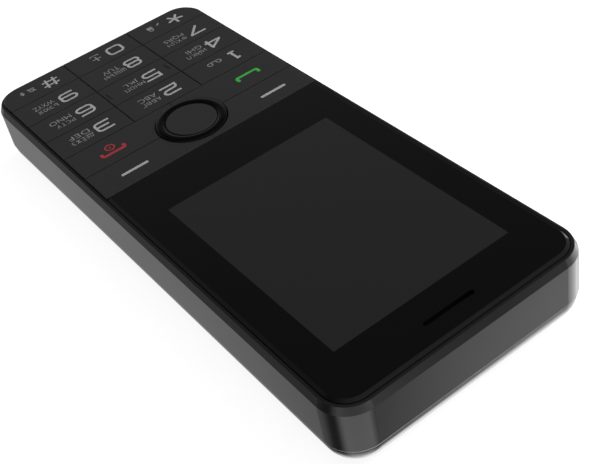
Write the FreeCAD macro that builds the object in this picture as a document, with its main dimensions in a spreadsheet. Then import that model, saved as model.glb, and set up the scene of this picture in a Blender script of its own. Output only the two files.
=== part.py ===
"""Bar-shaped mobile phone with a glass-fronted screen and a keypad, as a parametric document.

Millimetres. The phone lies on its back: +Z points out of the screen, +Y towards the earpiece
end and +X to the right of someone reading the screen. The origin is the middle of the back,
on the surface that the phone rests on.
"""
import FreeCAD
import Part
import Sketcher
import math
import os
from types import SimpleNamespace

SIZES = {
    # outer body
    "body_width": 52.1,
    "body_length": 123.4,
    "body_height": 14.4,
    "corner_radius": 6.1,
    "housing_wall": 1.2,
    "seam_share": 0.2778,
    "skirt_fillet": 0.35,
    "lip_drop": 0.47,
    "top_chamfer_width": 0.62,
    "top_chamfer_height": 1.33,
    # screen window
    "lens_thickness": 1.1,
    "lens_gap": 0.17,
    "lens_end_share": 0.16402,
    "lens_bevel_width": 0.57,
    "lens_bevel_height": 0.44,
    "adhesive_thickness": 0.15,
    "adhesive_inset": 0.5,
    "shelf_thickness": 1.0,
    "rib_bite": 0.3,
    "bar_setback": 0.22,
    "window_margin": 0.6,
    "window_radius": 0.8,
    "earpiece_inset": 5.7,
    "earpiece_width": 10.5,
    "earpiece_height": 0.95,
    "mesh_thickness": 0.12,
    "mesh_margin": 0.9,
    "receiver_width": 12.0,
    "receiver_length": 5.2,
    "receiver_height": 2.2,
    "receiver_offset": 1.1,
    "receiver_port_width": 8.4,
    # display module
    "display_side_margin": 7.76,
    "display_top_margin": 11.315,
    "display_bottom_margin": 11.735,
    "gasket_thickness": 0.4,
    "gasket_rim": 1.2,
    "panel_thickness": 1.4,
    "panel_side_border": 2.6,
    "panel_top_border": 2.7,
    "panel_driver_border": 7.9,
    "driver_step": 4.6,
    "tray_wall": 0.4,
    "tray_height": 1.8,
    "tray_floor": 1.1,
    "module_clearance": 0.15,
    "fence_thickness": 0.7,
    "fence_height": 1.9,
    "flex_width": 14.0,
    "flex_thickness": 0.12,
    "flex_reach": 2.1,
    "connector_height": 0.9,
    # circuit board
    "board_thickness": 0.9,
    "board_gap": 0.65,
    "board_corner": 4.0,
    "seat_gap": 0.1,
    # keys
    "rim_gap": 0.12,
    "key_gap": 0.15,
    "key_row_gap": 0.25,
    "key_split_gap": 0.1,
    "key_rise": 0.05,
    "key_height": 1.85,
    "key_wall": 0.9,
    "key_top_wall": 1.0,
    "key_edge": 0.12,
    "key_corner": 0.25,
    "key_travel": 0.3,
    "travel_allowance": 0.05,
    "stem_radius": 1.3,
    "stem_hole_gap": 0.4,
    "column_share": 0.3348,
    "digits_top_share": 0.4517,
    "digit_row_share": 0.06653,
    "function_row_share": 0.07212,
    "tactile_bar_width": 0.3,
    "tactile_bar_length": 2.2,
    "tactile_bar_rise": 0.13,
    "tactile_bar_inset": 1.03,
    "ring_radius": 7.3,
    "ring_rise": 0.45,
    "ring_crown": 0.3,
    "ring_edge": 0.15,
    "select_radius": 5.25,
    "select_rise": 0.3,
    "select_height": 1.15,
    "round_gap": 0.15,
    "rocker_radius": 5.6,
    "rocker_rim": 6.9,
    "rocker_bore": 4.2,
    "rocker_thickness": 0.45,
    "rocker_tilt_gap": 0.35,
    "rocker_foot_radius": 1.1,
    # keypad layers under the keys
    "stiffener_thickness": 0.4,
    "stiffener_gap": 0.4,
    "stiffener_side_gap": 0.2,
    "ledge_width": 1.25,
    "ledge_thickness": 0.8,
    "mat_thickness": 0.4,
    "mat_inset": 3.0,
    "mat_nub_radius": 1.0,
    "mat_nub_height": 0.07,
    "mat_nub_gap": 0.03,
    "mat_rim": 0.8,
    "dome_radius": 2.0,
    "dome_height": 0.25,
    "dome_film": 0.1,
    "dome_film_gap": 0.25,
    "led_length": 1.6,
    "led_width": 0.8,
    "led_height": 0.5,
    # bosses and screws
    "boss_radius": 1.7,
    "boss_pilot_radius": 0.75,
    "boss_pilot_spare": 0.3,
    "boss_clearance": 0.25,
    "boss_gusset_radius": 2.98,
    "corner_boss_side_inset": 3.85,
    "corner_boss_end_inset": 4.2,
    "side_boss_inset": 1.95,
    "side_boss_rise": 1.72,
    "side_boss_radius": 1.6,
    "screw_radius": 0.7,
    "screw_grip": 2.1,
    "screw_bite": 2.9,
    "screw_head_radius": 1.2,
    "screw_head_height": 0.6,
    "screw_head_gap": 0.15,
    "screw_drive_radius": 0.45,
    "screw_drive_depth": 0.35,
    # rear chassis and battery
    "chassis_gap": 0.15,
    "chassis_base": 1.9,
    "chassis_step": 1.3,
    "chassis_wall": 1.0,
    "bay_end_inset": 20.2,
    "bay_top_inset": 41.5,
    "bay_side_wall": 2.7,
    "bay_floor_thickness": 1.2,
    "battery_gap": 0.2,
    "battery_recess": 0.45,
    "battery_edge": 0.8,
    "chamber_side_wall": 4.9,
    "chamber_wall": 2.4,
    "chamber_end_wall": 2.0,
    "card_height": 1.25,
    "card_gap": 0.15,
    "sim_width": 16.0,
    "sim_length": 17.0,
    "sim_x": 9.6,
    "sim_inset": 15.2,
    "sim_sheet": 0.25,
    "memory_width": 13.0,
    "memory_length": 14.5,
    "memory_spacing": 20.5,
    "contact_block_width": 8.0,
    "contact_block_length": 2.0,
    "contact_seat": 0.7,
    "contact_block_x": -12.0,
    "contact_width": 1.0,
    "contact_pitch": 2.4,
    "contact_drop": 1.15,
    # camera, torch, sounder, motor and radio parts
    "camera_inset": 13.7,
    "camera_body": 7.5,
    "camera_seat": 0.3,
    "camera_gap": 0.55,
    "camera_barrel_radius": 2.9,
    "camera_pupil_radius": 1.1,
    "camera_window_radius": 4.1,
    "camera_hole_radius": 3.2,
    "torch_x": 9.5,
    "torch_body": 2.8,
    "torch_window_radius": 1.7,
    "torch_hole_radius": 1.2,
    "window_thickness": 0.5,
    "window_gap": 0.1,
    "speaker_gap": 1.125,
    "speaker_length": 16.0,
    "speaker_height": 3.0,
    "speaker_corner": 2.0,
    "spring_x": 2.0,
    "spring_width": 1.0,
    "spring_length": 2.0,
    "spring_inset": 1.0,
    "slot_count": 3,
    "slot_pitch": 2.4,
    "slot_share": 0.64,
    "slot_radius": 0.5,
    "motor_gap": 0.9,
    "motor_radius": 4.0,
    "motor_height": 2.7,
    "motor_foam_radius": 2.4,
    "middle_inset": 30.7,
    "can_height": 1.9,
    "can_sheet": 0.2,
    "can_corner": 0.6,
    "can_vent_radius": 0.5,
    "can_length": 15.0,
    "can_offset": 1.2,
    "can_spacing": 0.5,
    "antenna_thickness": 0.12,
    "antenna_side_inset": 1.5,
    "antenna_near_inset": 4.2,
    "antenna_far_gap": 5.0,
    "antenna_slit": 1.2,
    "antenna_trace": 2.2,
    "antenna_overrun": 1.0,
    # sockets in the lower end wall
    "usb_width": 7.5,
    "usb_height": 2.8,
    "usb_length": 5.6,
    "usb_sheet": 0.3,
    "usb_slope": 0.98,
    "usb_inner_slope": 0.86,
    "usb_tongue": 0.65,
    "usb_tongue_width": 3.7,
    "jack_x": 8.5,
    "jack_rise": 2.9,
    "jack_bore_radius": 1.8,
    "jack_bore_depth": 12.5,
    "jack_length": 13.6,
    "jack_width": 5.6,
    "jack_height": 4.6,
    "jack_collar_radius": 2.25,
    "port_gap": 0.12,
    "port_recess": 0.2,
    "mic_x": -12.0,
    "mic_drop": 1.35,
    "mic_hole_radius": 0.5,
    "mic_radius": 2.0,
    "mic_height": 1.4,
    "mic_boot_width": 5.4,
    "mic_boot_length": 6.2,
    "mic_boot_height": 2.24,
    # battery cover
    "cover_inset": 0.25,
    "cover_gap": 0.1,
    "cover_wall": 1.1,
    "cover_rim": 0.3,
    "cover_inner_edge": 2.2,
    "tab_width": 5.0,
    "tab_rise": 1.0,
    "tab_thickness": 1.05,
    "tab_root": 1.65,
    "tab_gap": 0.1,
    "tab_clearance": 0.2,
    "nail_notch_width": 9.0,
    "nail_notch_depth": 0.8,
    "nail_notch_reach": 0.77,
}

DIGIT_KEYS = (
    ("key_1", "key_2", "key_3"),
    ("key_4", "key_5", "key_6"),
    ("key_7", "key_8", "key_9"),
    ("key_star", "key_0", "key_hash"),
)
# places along the body, as shares of its half length
SIDE_TAB_SHARES = (-0.778, -0.454, 0.162, 0.486, 0.81)
LED_SHARES = (-0.373, -0.652, -0.843)
EDGE_TOLERANCE = 1e-4
LEAST_CUT = 1e-6


class Size:
    """A length that carries both its number and the sheet expression that it comes from."""

    def __init__(self, value, text):
        self.value = value
        self.text = text

    @property
    def bound(self):
        return "Sizes." in self.text

    def __add__(self, other):
        other = as_size(other)
        return Size(self.value + other.value, f"({self.text} + {other.text})")

    def __sub__(self, other):
        other = as_size(other)
        return Size(self.value - other.value, f"({self.text} - {other.text})")

    def __mul__(self, other):
        other = as_size(other)
        return Size(self.value * other.value, f"({self.text} * {other.text})")

    def __truediv__(self, other):
        other = as_size(other)
        return Size(self.value / other.value, f"({self.text} / {other.text})")

    def __neg__(self):
        return Size(-self.value, f"(0 - {self.text})")

    def __radd__(self, other):
        return as_size(other) + self

    def __rsub__(self, other):
        return as_size(other) - self

    def __rmul__(self, other):
        return as_size(other) * self


def as_size(number):
    return number if isinstance(number, Size) else Size(float(number), f"({float(number)})")


document = FreeCAD.newDocument("bar_phone")
sheet = document.addObject("Spreadsheet::Sheet", "Sizes")
for row, (alias, number) in enumerate(SIZES.items(), start=1):
    sheet.set(f"A{row}", alias)
    sheet.set(f"B{row}", str(number))
    sheet.setAlias(f"B{row}", alias)
document.recompute()
d = SimpleNamespace(**{alias: Size(float(number), f"Sizes.{alias}") for alias, number in SIZES.items()})

# ---------------------------------------------------------------- levels and outlines
half_width = d.body_width / 2
half_length = d.body_length / 2
inner_half_width = half_width - d.housing_wall
inner_half_length = half_length - d.housing_wall
inner_radius = d.corner_radius - d.housing_wall

lip_z = d.body_height - d.lip_drop
lens_base_z = d.body_height - d.lens_thickness
shelf_top_z = lens_base_z - d.adhesive_thickness
shelf_base_z = shelf_top_z - d.shelf_thickness
panel_top_z = shelf_base_z - d.gasket_thickness
panel_base_z = panel_top_z - d.panel_thickness
tray_base_z = panel_base_z - d.tray_floor
board_top_z = tray_base_z - d.seat_gap
board_base_z = board_top_z - d.board_thickness
hanging_z = board_base_z - d.seat_gap / 2
chassis_top_z = board_base_z - d.seat_gap
bay_floor_z = chassis_top_z - d.bay_floor_thickness
chamber_floor_z = d.chassis_base + d.chassis_wall

seam_z = d.body_height * d.seam_share
cover_top_z = seam_z - d.cover_gap
chassis_step_z = cover_top_z + d.tab_rise + d.tab_clearance
jack_z = cover_top_z + d.jack_rise
usb_centre_z = hanging_z - d.usb_height / 2
mic_z = board_base_z - d.mic_drop

key_top_z = d.body_height + d.key_rise
key_base_z = key_top_z - d.key_height
key_inside_z = key_top_z - d.key_top_wall
stiffener_top_z = key_base_z - d.stiffener_gap
stiffener_base_z = stiffener_top_z - d.stiffener_thickness
ledge_base_z = stiffener_base_z - d.ledge_thickness
dome_top_z = board_top_z + d.dome_height
mat_base_z = dome_top_z + d.mat_nub_height + d.mat_nub_gap
mat_top_z = mat_base_z + d.mat_thickness
stem_end_z = mat_top_z + d.key_travel + d.travel_allowance

lens_end_y = -half_length * d.lens_end_share
bar_end_y = lens_end_y + d.bar_setback
keypad_half_width = inner_half_width - d.rim_gap
keypad_end_y = d.rim_gap - inner_half_length
keypad_top_y = lens_end_y - d.key_gap
keypad_radius = inner_radius - d.rim_gap
column_line_x = keypad_half_width * d.column_share
digits_top_y = -half_length * d.digits_top_share
digit_row_pitch = d.body_length * d.digit_row_share
nav_y = digits_top_y + d.body_length * d.function_row_share
ring_inner_radius = d.select_radius + d.round_gap

display_half_width = half_width - d.display_side_margin
display_top_y = half_length - d.display_top_margin
display_bottom_y = lens_end_y + d.display_bottom_margin
earpiece_y = half_length - d.earpiece_inset
window_half_width = display_half_width + d.window_margin
window_bottom_y = display_bottom_y - d.window_margin
window_top_y = display_top_y + d.window_margin
panel_half_width = display_half_width + d.panel_side_border
panel_top_y = display_top_y + d.panel_top_border
panel_bottom_y = display_bottom_y - d.panel_driver_border
tray_half_width = panel_half_width + d.tray_wall
tray_top_y = panel_top_y + d.tray_wall
tray_bottom_y = panel_bottom_y - d.tray_wall

board_half_width = inner_half_width - d.board_gap
board_half_length = inner_half_length - d.board_gap
mat_half_width = board_half_width - d.mat_inset
mat_top_y = nav_y + d.rocker_radius + d.dome_radius + d.dome_film_gap + d.mat_rim
mat_end_y = d.ledge_width - inner_half_length

chassis_half_width = inner_half_width - d.chassis_gap
chassis_half_length = inner_half_length - d.chassis_gap
step_half_width = chassis_half_width - d.chassis_step
step_half_length = chassis_half_length - d.chassis_step
bay_half_width = step_half_width - d.bay_side_wall
bay_top_y = half_length - d.bay_top_inset
bay_end_y = d.bay_end_inset - half_length
battery_half_width = bay_half_width - d.battery_gap
battery_top_y = bay_top_y - d.battery_gap * 2
battery_bottom_y = bay_end_y + d.battery_gap
sim_y = bay_top_y - d.sim_inset
memory_y = sim_y - d.memory_spacing

chamber_half_width = step_half_width - d.chamber_side_wall
camera_y = half_length - d.camera_inset
speaker_width = chamber_half_width - d.camera_body / 2 - d.speaker_gap * 2
speaker_x = -(d.camera_body / 2 + d.speaker_gap + speaker_width / 2)
slot_length = speaker_width * d.slot_share
middle_y = half_length - d.middle_inset
motor_x = chamber_half_width - d.motor_radius - d.motor_gap
baseband_can_sides = (d.motor_gap - chamber_half_width, -d.can_offset)
radio_can_sides = (d.can_spacing - d.can_offset, motor_x - d.motor_radius - d.motor_gap)
antenna_half_width = chamber_half_width - d.antenna_side_inset
antenna_near_y = d.antenna_near_inset - half_length
antenna_far_y = bay_end_y - d.antenna_far_gap

cover_half_width = half_width - d.cover_inset
cover_half_length = half_length - d.cover_inset
cover_radius = d.corner_radius - d.cover_inset
tab_end_x = (d.jack_x + d.jack_width / 2 + inner_half_width - inner_radius) / 2

corner_boss_x = inner_half_width - d.corner_boss_side_inset
corner_boss_y = inner_half_length - d.corner_boss_end_inset
corner_bosses = [(sx * corner_boss_x, sy * corner_boss_y) for sx in (-1, 1) for sy in (-1, 1)]
lower_bosses = [spot for spot in corner_bosses if spot[1].value < 0]
upper_bosses = [spot for spot in corner_bosses if spot[1].value > 0]
side_boss_x = inner_half_width - d.side_boss_inset
side_bosses = [(side * side_boss_x, lens_end_y + d.side_boss_rise) for side in (-1, 1)]


# ---------------------------------------------------------------- document helpers
def bind(target, path, size):
    """Set a property to a size, and tie it to the sheet."""
    size = as_size(size)
    if "." not in path and "[" not in path:
        setattr(target, path, size.value)
    if size.bound:
        target.setExpression(path, size.text)
    elif path.startswith("AttachmentOffset"):
        target.setExpression(path, size.text)
    elif path.startswith("Placement"):
        target.setExpression(path, size.text)


def add_datum(sketch, constraint, size):
    index = sketch.addConstraint(constraint)
    if size.bound:
        sketch.setExpression(f"Constraints[{index}]", size.text)


def hold(sketch, kind, geometry, point, where):
    """Hold one coordinate of a point at a signed distance from the sketch's origin."""
    where = as_size(where)
    if where.value < 0:
        away = -where
        add_datum(sketch, Sketcher.Constraint(kind, geometry, point, -1, 1, away.value), away)
    else:
        add_datum(sketch, Sketcher.Constraint(kind, -1, 1, geometry, point, where.value), where)


def line(x0, y0, x1, y1):
    return Part.LineSegment(FreeCAD.Vector(x0, y0, 0), FreeCAD.Vector(x1, y1, 0))


def arc(x, y, radius, start, end):
    circle = Part.Circle(FreeCAD.Vector(x, y, 0), FreeCAD.Vector(0, 0, 1), radius)
    return Part.ArcOfCircle(circle, math.radians(start), math.radians(end))


def draw_rectangle(sketch, left, right, bottom, top, lower_radius=None, upper_radius=None):
    """Draw a rectangle whose lower and upper corners are square or round."""
    sides = [as_size(side) for side in (bottom, right, top, left)]
    low, east, high, west = [side.value for side in sides]
    lower = as_size(lower_radius or 0)
    upper = as_size(upper_radius or 0)
    small, large = lower.value, upper.value
    first = sketch.addGeometry([
        line(west + small, low, east - small, low),
        line(east, low + small, east, high - large),
        line(east - large, high, west + large, high),
        line(west, high - large, west, low + small),
    ], False)[0]
    corners = (
        (0, 1, lower, (east - small, low + small), 270),
        (1, 2, upper, (east - large, high - large), 0),
        (2, 3, upper, (west + large, high - large), 90),
        (3, 0, lower, (west + small, low + small), 180),
    )
    for before, after, radius, centre, start in corners:
        if radius.value:
            curve = sketch.addGeometry(arc(*centre, radius.value, start, start + 90), False)
            sketch.addConstraint(Sketcher.Constraint("Tangent", first + before, 2, curve, 1))
            sketch.addConstraint(Sketcher.Constraint("Tangent", curve, 2, first + after, 1))
            add_datum(sketch, Sketcher.Constraint("Radius", curve, radius.value), radius)
        else:
            sketch.addConstraint(Sketcher.Constraint("Coincident", first + before, 2, first + after, 1))
    for side, kind, across in ((0, "Horizontal", "DistanceY"), (1, "Vertical", "DistanceX"),
                               (2, "Horizontal", "DistanceY"), (3, "Vertical", "DistanceX")):
        sketch.addConstraint(Sketcher.Constraint(kind, first + side))
        hold(sketch, across, first + side, 1, sides[side])


def draw_circle(sketch, x, y, radius):
    x, y, radius = as_size(x), as_size(y), as_size(radius)
    circle = Part.Circle(FreeCAD.Vector(x.value, y.value, 0), FreeCAD.Vector(0, 0, 1), radius.value)
    index = sketch.addGeometry(circle, False)
    add_datum(sketch, Sketcher.Constraint("Radius", index, radius.value), radius)
    hold(sketch, "DistanceX", index, 3, x)
    hold(sketch, "DistanceY", index, 3, y)


def draw_slot(sketch, x, y, length, radius):
    """Draw a slot with round ends that lies along the sketch's first axis."""
    x, y, length, radius = as_size(x), as_size(y), as_size(length), as_size(radius)
    reach = length / 2 - radius
    west, east = x.value - reach.value, x.value + reach.value
    low, high = y.value - radius.value, y.value + radius.value
    first = sketch.addGeometry([
        line(west, low, east, low),
        arc(east, y.value, radius.value, 270, 450),
        line(east, high, west, high),
        arc(west, y.value, radius.value, 90, 270),
    ], False)[0]
    for step in range(4):
        after = first + (step + 1) % 4
        sketch.addConstraint(Sketcher.Constraint("Tangent", first + step, 2, after, 1))
    sketch.addConstraint(Sketcher.Constraint("Horizontal", first))
    add_datum(sketch, Sketcher.Constraint("Radius", first + 1, radius.value), radius)
    hold(sketch, "DistanceX", first + 1, 3, x + reach)
    hold(sketch, "DistanceX", first + 3, 3, x - reach)
    hold(sketch, "DistanceY", first + 1, 3, y)


def draw_polygon(sketch, points):
    """Draw a closed outline of straight sides through points held in both directions."""
    points = [(as_size(x), as_size(y)) for x, y in points]
    sides = [line(x.value, y.value, nx.value, ny.value)
             for (x, y), (nx, ny) in zip(points, points[1:] + points[:1])]
    first = sketch.addGeometry(sides, False)[0]
    for step, (x, y) in enumerate(points):
        after = first + (step + 1) % len(points)
        sketch.addConstraint(Sketcher.Constraint("Coincident", first + step, 2, after, 1))
        hold(sketch, "DistanceX", first + step, 1, x)
        hold(sketch, "DistanceY", first + step, 1, y)


class Moulding:
    """A PartDesign body that is built up from padded and pocketed sketches."""

    def __init__(self, name):
        self.name = name
        self.body = document.addObject("PartDesign::Body", name)
        self.body.Label = name
        self.count = 0

    def sketch(self, offset, plane="XY_Plane"):
        self.count += 1
        support = next(item for item in self.body.Origin.OriginFeatures if item.Role == plane)
        sketch = self.body.newObject("Sketcher::SketchObject", f"{self.name}_sketch_{self.count}")
        sketch.AttachmentSupport = (support, "")
        sketch.MapMode = "FlatFace"
        bind(sketch, "AttachmentOffset.Base.z", offset)
        return sketch

    def feature(self, kind, **links):
        feature = self.body.newObject(f"PartDesign::{kind}", f"{self.name}_{kind.lower()}_{self.count}")
        for name, value in links.items():
            setattr(feature, name, value)
        return feature

    def pad(self, low, high, draw, *args, **options):
        """Add material over a drawn outline, between two heights."""
        sketch = self.sketch(low)
        draw(sketch, *args, **options)
        feature = self.feature("Pad", Profile=sketch)
        bind(feature, "Length", high - low)
        return feature

    def pocket(self, low, high, draw, *args, **options):
        """Remove material under a drawn outline, between two heights."""
        sketch = self.sketch(high)
        draw(sketch, *args, **options)
        feature = self.feature("Pocket", Profile=sketch)
        bind(feature, "Length", high - low)
        return feature

    def edge_names(self, wanted):
        document.recompute()
        shape = self.body.Tip.Shape
        return [f"Edge{index}" for index, edge in enumerate(shape.Edges, start=1) if wanted(edge.BoundBox)]

    def fillet(self, radius, wanted):
        names = self.edge_names(wanted)
        base = self.body.Tip
        feature = self.feature("Fillet", Base=(base, names))
        bind(feature, "Radius", radius)
        return feature

    def chamfer(self, size, wanted, second_size=None):
        names = self.edge_names(wanted)
        base = self.body.Tip
        feature = self.feature("Chamfer", Base=(base, names))
        bind(feature, "Size", size)
        if second_size is not None:
            feature.ChamferType = "Two distances"
            bind(feature, "Size2", second_size)
            feature.FlipDirection = True
        return feature


def level_with(height):
    """Choose edges that lie flat at one height."""
    z = as_size(height).value
    return lambda box: abs(box.ZMin - z) < EDGE_TOLERANCE and abs(box.ZMax - z) < EDGE_TOLERANCE


def add_block(name, left, right, bottom, top, low, high):
    block = document.addObject("Part::Box", name)
    for prop, size in (("Length", right - left), ("Width", top - bottom), ("Height", high - low)):
        bind(block, prop, size)
    for axis, size in (("x", left), ("y", bottom), ("z", low)):
        bind(block, f"Placement.Base.{axis}", size)
    return block


def add_centred_block(name, x, y, width, length, low, high):
    return add_block(name, x - width / 2, x + width / 2, y - length / 2, y + length / 2, low, high)


def add_cylinder(name, x, y, low, high, radius):
    cylinder = document.addObject("Part::Cylinder", name)
    bind(cylinder, "Radius", radius)
    bind(cylinder, "Height", high - low)
    for axis, size in (("x", x), ("y", y), ("z", low)):
        bind(cylinder, f"Placement.Base.{axis}", size)
    return cylinder


def add_union(name, pieces):
    union = document.addObject("Part::MultiFuse", name)
    union.Shapes = pieces
    union.Label = name
    return union


def add_difference(name, base, tools):
    difference = document.addObject("Part::Cut", name)
    difference.Base = base
    difference.Tool = tools[0] if len(tools) == 1 else add_union(f"{name}_tools", tools)
    difference.Label = name
    return difference


def add_group(name, pieces):
    """Keep identical small parts together as separate solids of one node."""
    group = document.addObject("Part::Compound", name)
    group.Links = pieces
    group.Label = name
    return group


# ---------------------------------------------------------------- moulded housing
def make_front_housing():
    """Side walls, sloped top rim, window shelf, keypad ledge, bosses and end-wall ports."""
    piece = Moulding("front_housing")
    piece.pad(seam_z, lip_z, draw_rectangle, -half_width, half_width, -half_length, half_length,
              d.corner_radius, d.corner_radius)
    piece.chamfer(d.top_chamfer_width, level_with(lip_z), d.top_chamfer_height)
    piece.fillet(d.skirt_fillet, level_with(seam_z))
    inside = (-inner_half_width, inner_half_width)
    piece.pocket(shelf_top_z, lip_z, draw_rectangle, *inside, -inner_half_length, inner_half_length,
                 inner_radius, inner_radius)
    piece.pocket(stiffener_base_z, shelf_top_z, draw_rectangle, *inside, -inner_half_length, bar_end_y,
                 inner_radius)
    piece.pocket(seam_z, shelf_base_z, draw_rectangle, *inside, bar_end_y, inner_half_length,
                 None, inner_radius)
    ledge_half_width = inner_half_width - d.ledge_width
    piece.pocket(ledge_base_z, stiffener_base_z, draw_rectangle, -ledge_half_width, ledge_half_width,
                 d.ledge_width - inner_half_length, bar_end_y - d.ledge_width,
                 inner_radius - d.ledge_width)
    piece.pocket(seam_z, ledge_base_z, draw_rectangle, *inside, -inner_half_length, bar_end_y,
                 inner_radius)
    piece.pad(ledge_base_z, stiffener_base_z, draw_rectangle, -ledge_half_width - d.rib_bite,
              ledge_half_width + d.rib_bite, bar_end_y - d.ledge_width, bar_end_y)
    piece.pocket(shelf_base_z, shelf_top_z, draw_rectangle, -window_half_width, window_half_width,
                 window_bottom_y, window_top_y, d.window_radius, d.window_radius)
    piece.pocket(shelf_base_z, shelf_top_z, draw_slot, 0, earpiece_y, d.earpiece_width,
                 d.earpiece_height)
    add_display_fence(piece)
    add_housing_bosses(piece)
    add_end_wall_ports(piece)
    return piece.body


def add_display_fence(piece):
    """Ribs under the shelf that the display module drops into."""
    def ring(sketch):
        for grow in (d.module_clearance + d.fence_thickness, d.module_clearance):
            draw_rectangle(sketch, -(tray_half_width + grow), tray_half_width + grow,
                           tray_bottom_y - grow, tray_top_y + grow)
    piece.pad(shelf_base_z - d.fence_height, shelf_base_z, ring)
    half_gap = d.flex_width / 2 + d.module_clearance * 2
    piece.pocket(shelf_base_z - d.fence_height, shelf_base_z, draw_rectangle, -half_gap, half_gap,
                 tray_bottom_y - d.module_clearance * 2 - d.fence_thickness, tray_bottom_y)


def add_housing_bosses(piece):
    """Screw bosses hang from the shelf and from gussets on the keypad ledge."""
    foot_z = chassis_top_z + d.seat_gap / 2

    def gussets(sketch):
        for x, y in lower_bosses:
            draw_circle(sketch, x, y, d.boss_gusset_radius)

    def upper(sketch):
        for x, y in upper_bosses:
            draw_circle(sketch, x, y, d.boss_radius)
        for x, y in side_bosses:
            draw_circle(sketch, x, y, d.side_boss_radius)

    def lower(sketch):
        for x, y in lower_bosses:
            draw_circle(sketch, x, y, d.boss_radius)

    def pilots(sketch):
        for x, y in corner_bosses + side_bosses:
            draw_circle(sketch, x, y, d.boss_pilot_radius)
    piece.pad(ledge_base_z, stiffener_base_z, gussets)
    piece.pad(foot_z, shelf_base_z + d.shelf_thickness / 2, upper)
    piece.pad(foot_z, stiffener_base_z, lower)
    piece.pocket(foot_z, chassis_top_z + d.screw_bite + d.boss_pilot_spare, pilots)


def add_end_wall_ports(piece):
    """Socket and microphone holes through the wall below the keypad."""
    sketch = piece.sketch(half_length, "XZ_Plane")
    usb_half_width = d.usb_width / 2 + d.port_gap
    usb_half_height = d.usb_height / 2 + d.port_gap
    draw_rectangle(sketch, -usb_half_width, usb_half_width, usb_centre_z - usb_half_height,
                   usb_centre_z + usb_half_height, d.usb_sheet * 2, d.usb_sheet)
    draw_circle(sketch, d.jack_x, jack_z, d.jack_collar_radius + d.port_gap)
    draw_circle(sketch, d.mic_x, mic_z, d.mic_hole_radius)
    feature = piece.feature("Pocket", Profile=sketch)
    bind(feature, "Length", d.housing_wall + d.port_gap)



# ---------------------------------------------------------------- window and earpiece
def make_screen_lens():
    """Clear cover of the screen, bevelled on the sides that stand above the rim."""
    piece = Moulding("screen_lens")
    lens_half_width = inner_half_width - d.lens_gap
    lens_top_y = inner_half_length - d.lens_gap
    piece.pad(lens_base_z, d.body_height, draw_rectangle, -lens_half_width, lens_half_width,
              lens_end_y, lens_top_y, None, inner_radius - d.lens_gap)
    end_y = lens_end_y.value
    top_z = d.body_height.value
    piece.chamfer(d.lens_bevel_width, lambda box: (box.ZMin > top_z - EDGE_TOLERANCE
                                                       and box.YMax > end_y + EDGE_TOLERANCE),
                  d.lens_bevel_height)
    piece.pocket(lens_base_z, d.body_height, draw_slot, 0, earpiece_y, d.earpiece_width,
                 d.earpiece_height / 2)
    return piece.body


def make_lens_adhesive():
    """Die-cut tape between the lens and the shelf."""
    piece = Moulding("lens_adhesive")
    edge = d.lens_gap + d.adhesive_inset
    slot_half_width = d.earpiece_width / 2 + d.mesh_margin + d.port_gap
    slot_half_height = d.earpiece_height / 2 + d.mesh_margin + d.port_gap
    piece.pad(shelf_top_z, lens_base_z, draw_rectangle, edge - inner_half_width, inner_half_width - edge,
              bar_end_y + d.adhesive_inset, inner_half_length - edge, None, inner_radius - edge)
    piece.pocket(shelf_top_z, lens_base_z, draw_rectangle, -window_half_width, window_half_width,
                 window_bottom_y, window_top_y, d.window_radius, d.window_radius)
    piece.pocket(shelf_top_z, lens_base_z, draw_rectangle, -slot_half_width, slot_half_width,
                 earpiece_y - slot_half_height, earpiece_y + slot_half_height)
    return piece.body


def make_earpiece_mesh():
    """Fine dust screen behind the listening slot."""
    piece = Moulding("earpiece_mesh")
    piece.pad(shelf_top_z, shelf_top_z + d.mesh_thickness, draw_slot, 0, earpiece_y,
              d.earpiece_width + d.mesh_margin * 2, d.earpiece_height / 2 + d.mesh_margin)
    return piece.body


def make_earpiece_speaker():
    """Oblong receiver capsule with a raised sound port."""
    piece = Moulding("earpiece_speaker")
    top_z = shelf_base_z - d.seat_gap / 2
    y = earpiece_y + d.receiver_offset
    piece.pad(top_z - d.receiver_height, top_z, draw_rectangle, -(d.receiver_width / 2),
              d.receiver_width / 2, y - d.receiver_length / 2, y + d.receiver_length / 2,
              d.receiver_length / 4, d.receiver_length / 4)
    piece.pocket(top_z - d.receiver_height / 4, top_z, draw_slot, 0, y, d.receiver_port_width,
                 d.receiver_length / 5)
    piece.pad(board_top_z, top_z - d.receiver_height, draw_rectangle, -(d.receiver_width / 4),
              d.receiver_width / 4, y - d.receiver_length / 6, y + d.receiver_length / 6)
    return piece.body


# ---------------------------------------------------------------- display module
def make_display_gasket():
    """Foam frame that keeps dust out between the shelf and the panel."""
    piece = Moulding("display_gasket")
    outer = d.window_margin / 2 + d.gasket_rim
    piece.pad(panel_top_z, shelf_base_z, draw_rectangle, -(window_half_width + outer),
              window_half_width + outer, window_bottom_y - outer, window_top_y + outer, d.window_radius,
              d.window_radius)
    inner = d.window_margin / 2
    piece.pocket(panel_top_z, shelf_base_z, draw_rectangle, -(window_half_width + inner),
                 window_half_width + inner, window_bottom_y - inner, window_top_y + inner,
                 d.window_radius, d.window_radius)
    return piece.body


def make_lcd_panel():
    """Two glass layers; the lower one is longer and carries the driver chip."""
    step_y = panel_bottom_y + d.driver_step
    half_z = panel_base_z + d.panel_thickness / 2
    lower = add_block("panel_rear_glass", -panel_half_width, panel_half_width, panel_bottom_y,
                      panel_top_y, panel_base_z, half_z)
    upper = add_block("panel_front_glass", -panel_half_width, panel_half_width, step_y, panel_top_y,
                      half_z, panel_top_z)
    chip_y = (panel_bottom_y + step_y) / 2
    chip = add_centred_block("driver_chip", as_size(0), chip_y, panel_half_width, d.driver_step / 3,
                             half_z, half_z + d.panel_thickness / 4)
    return add_union("lcd_panel", [lower, upper, chip])


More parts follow.
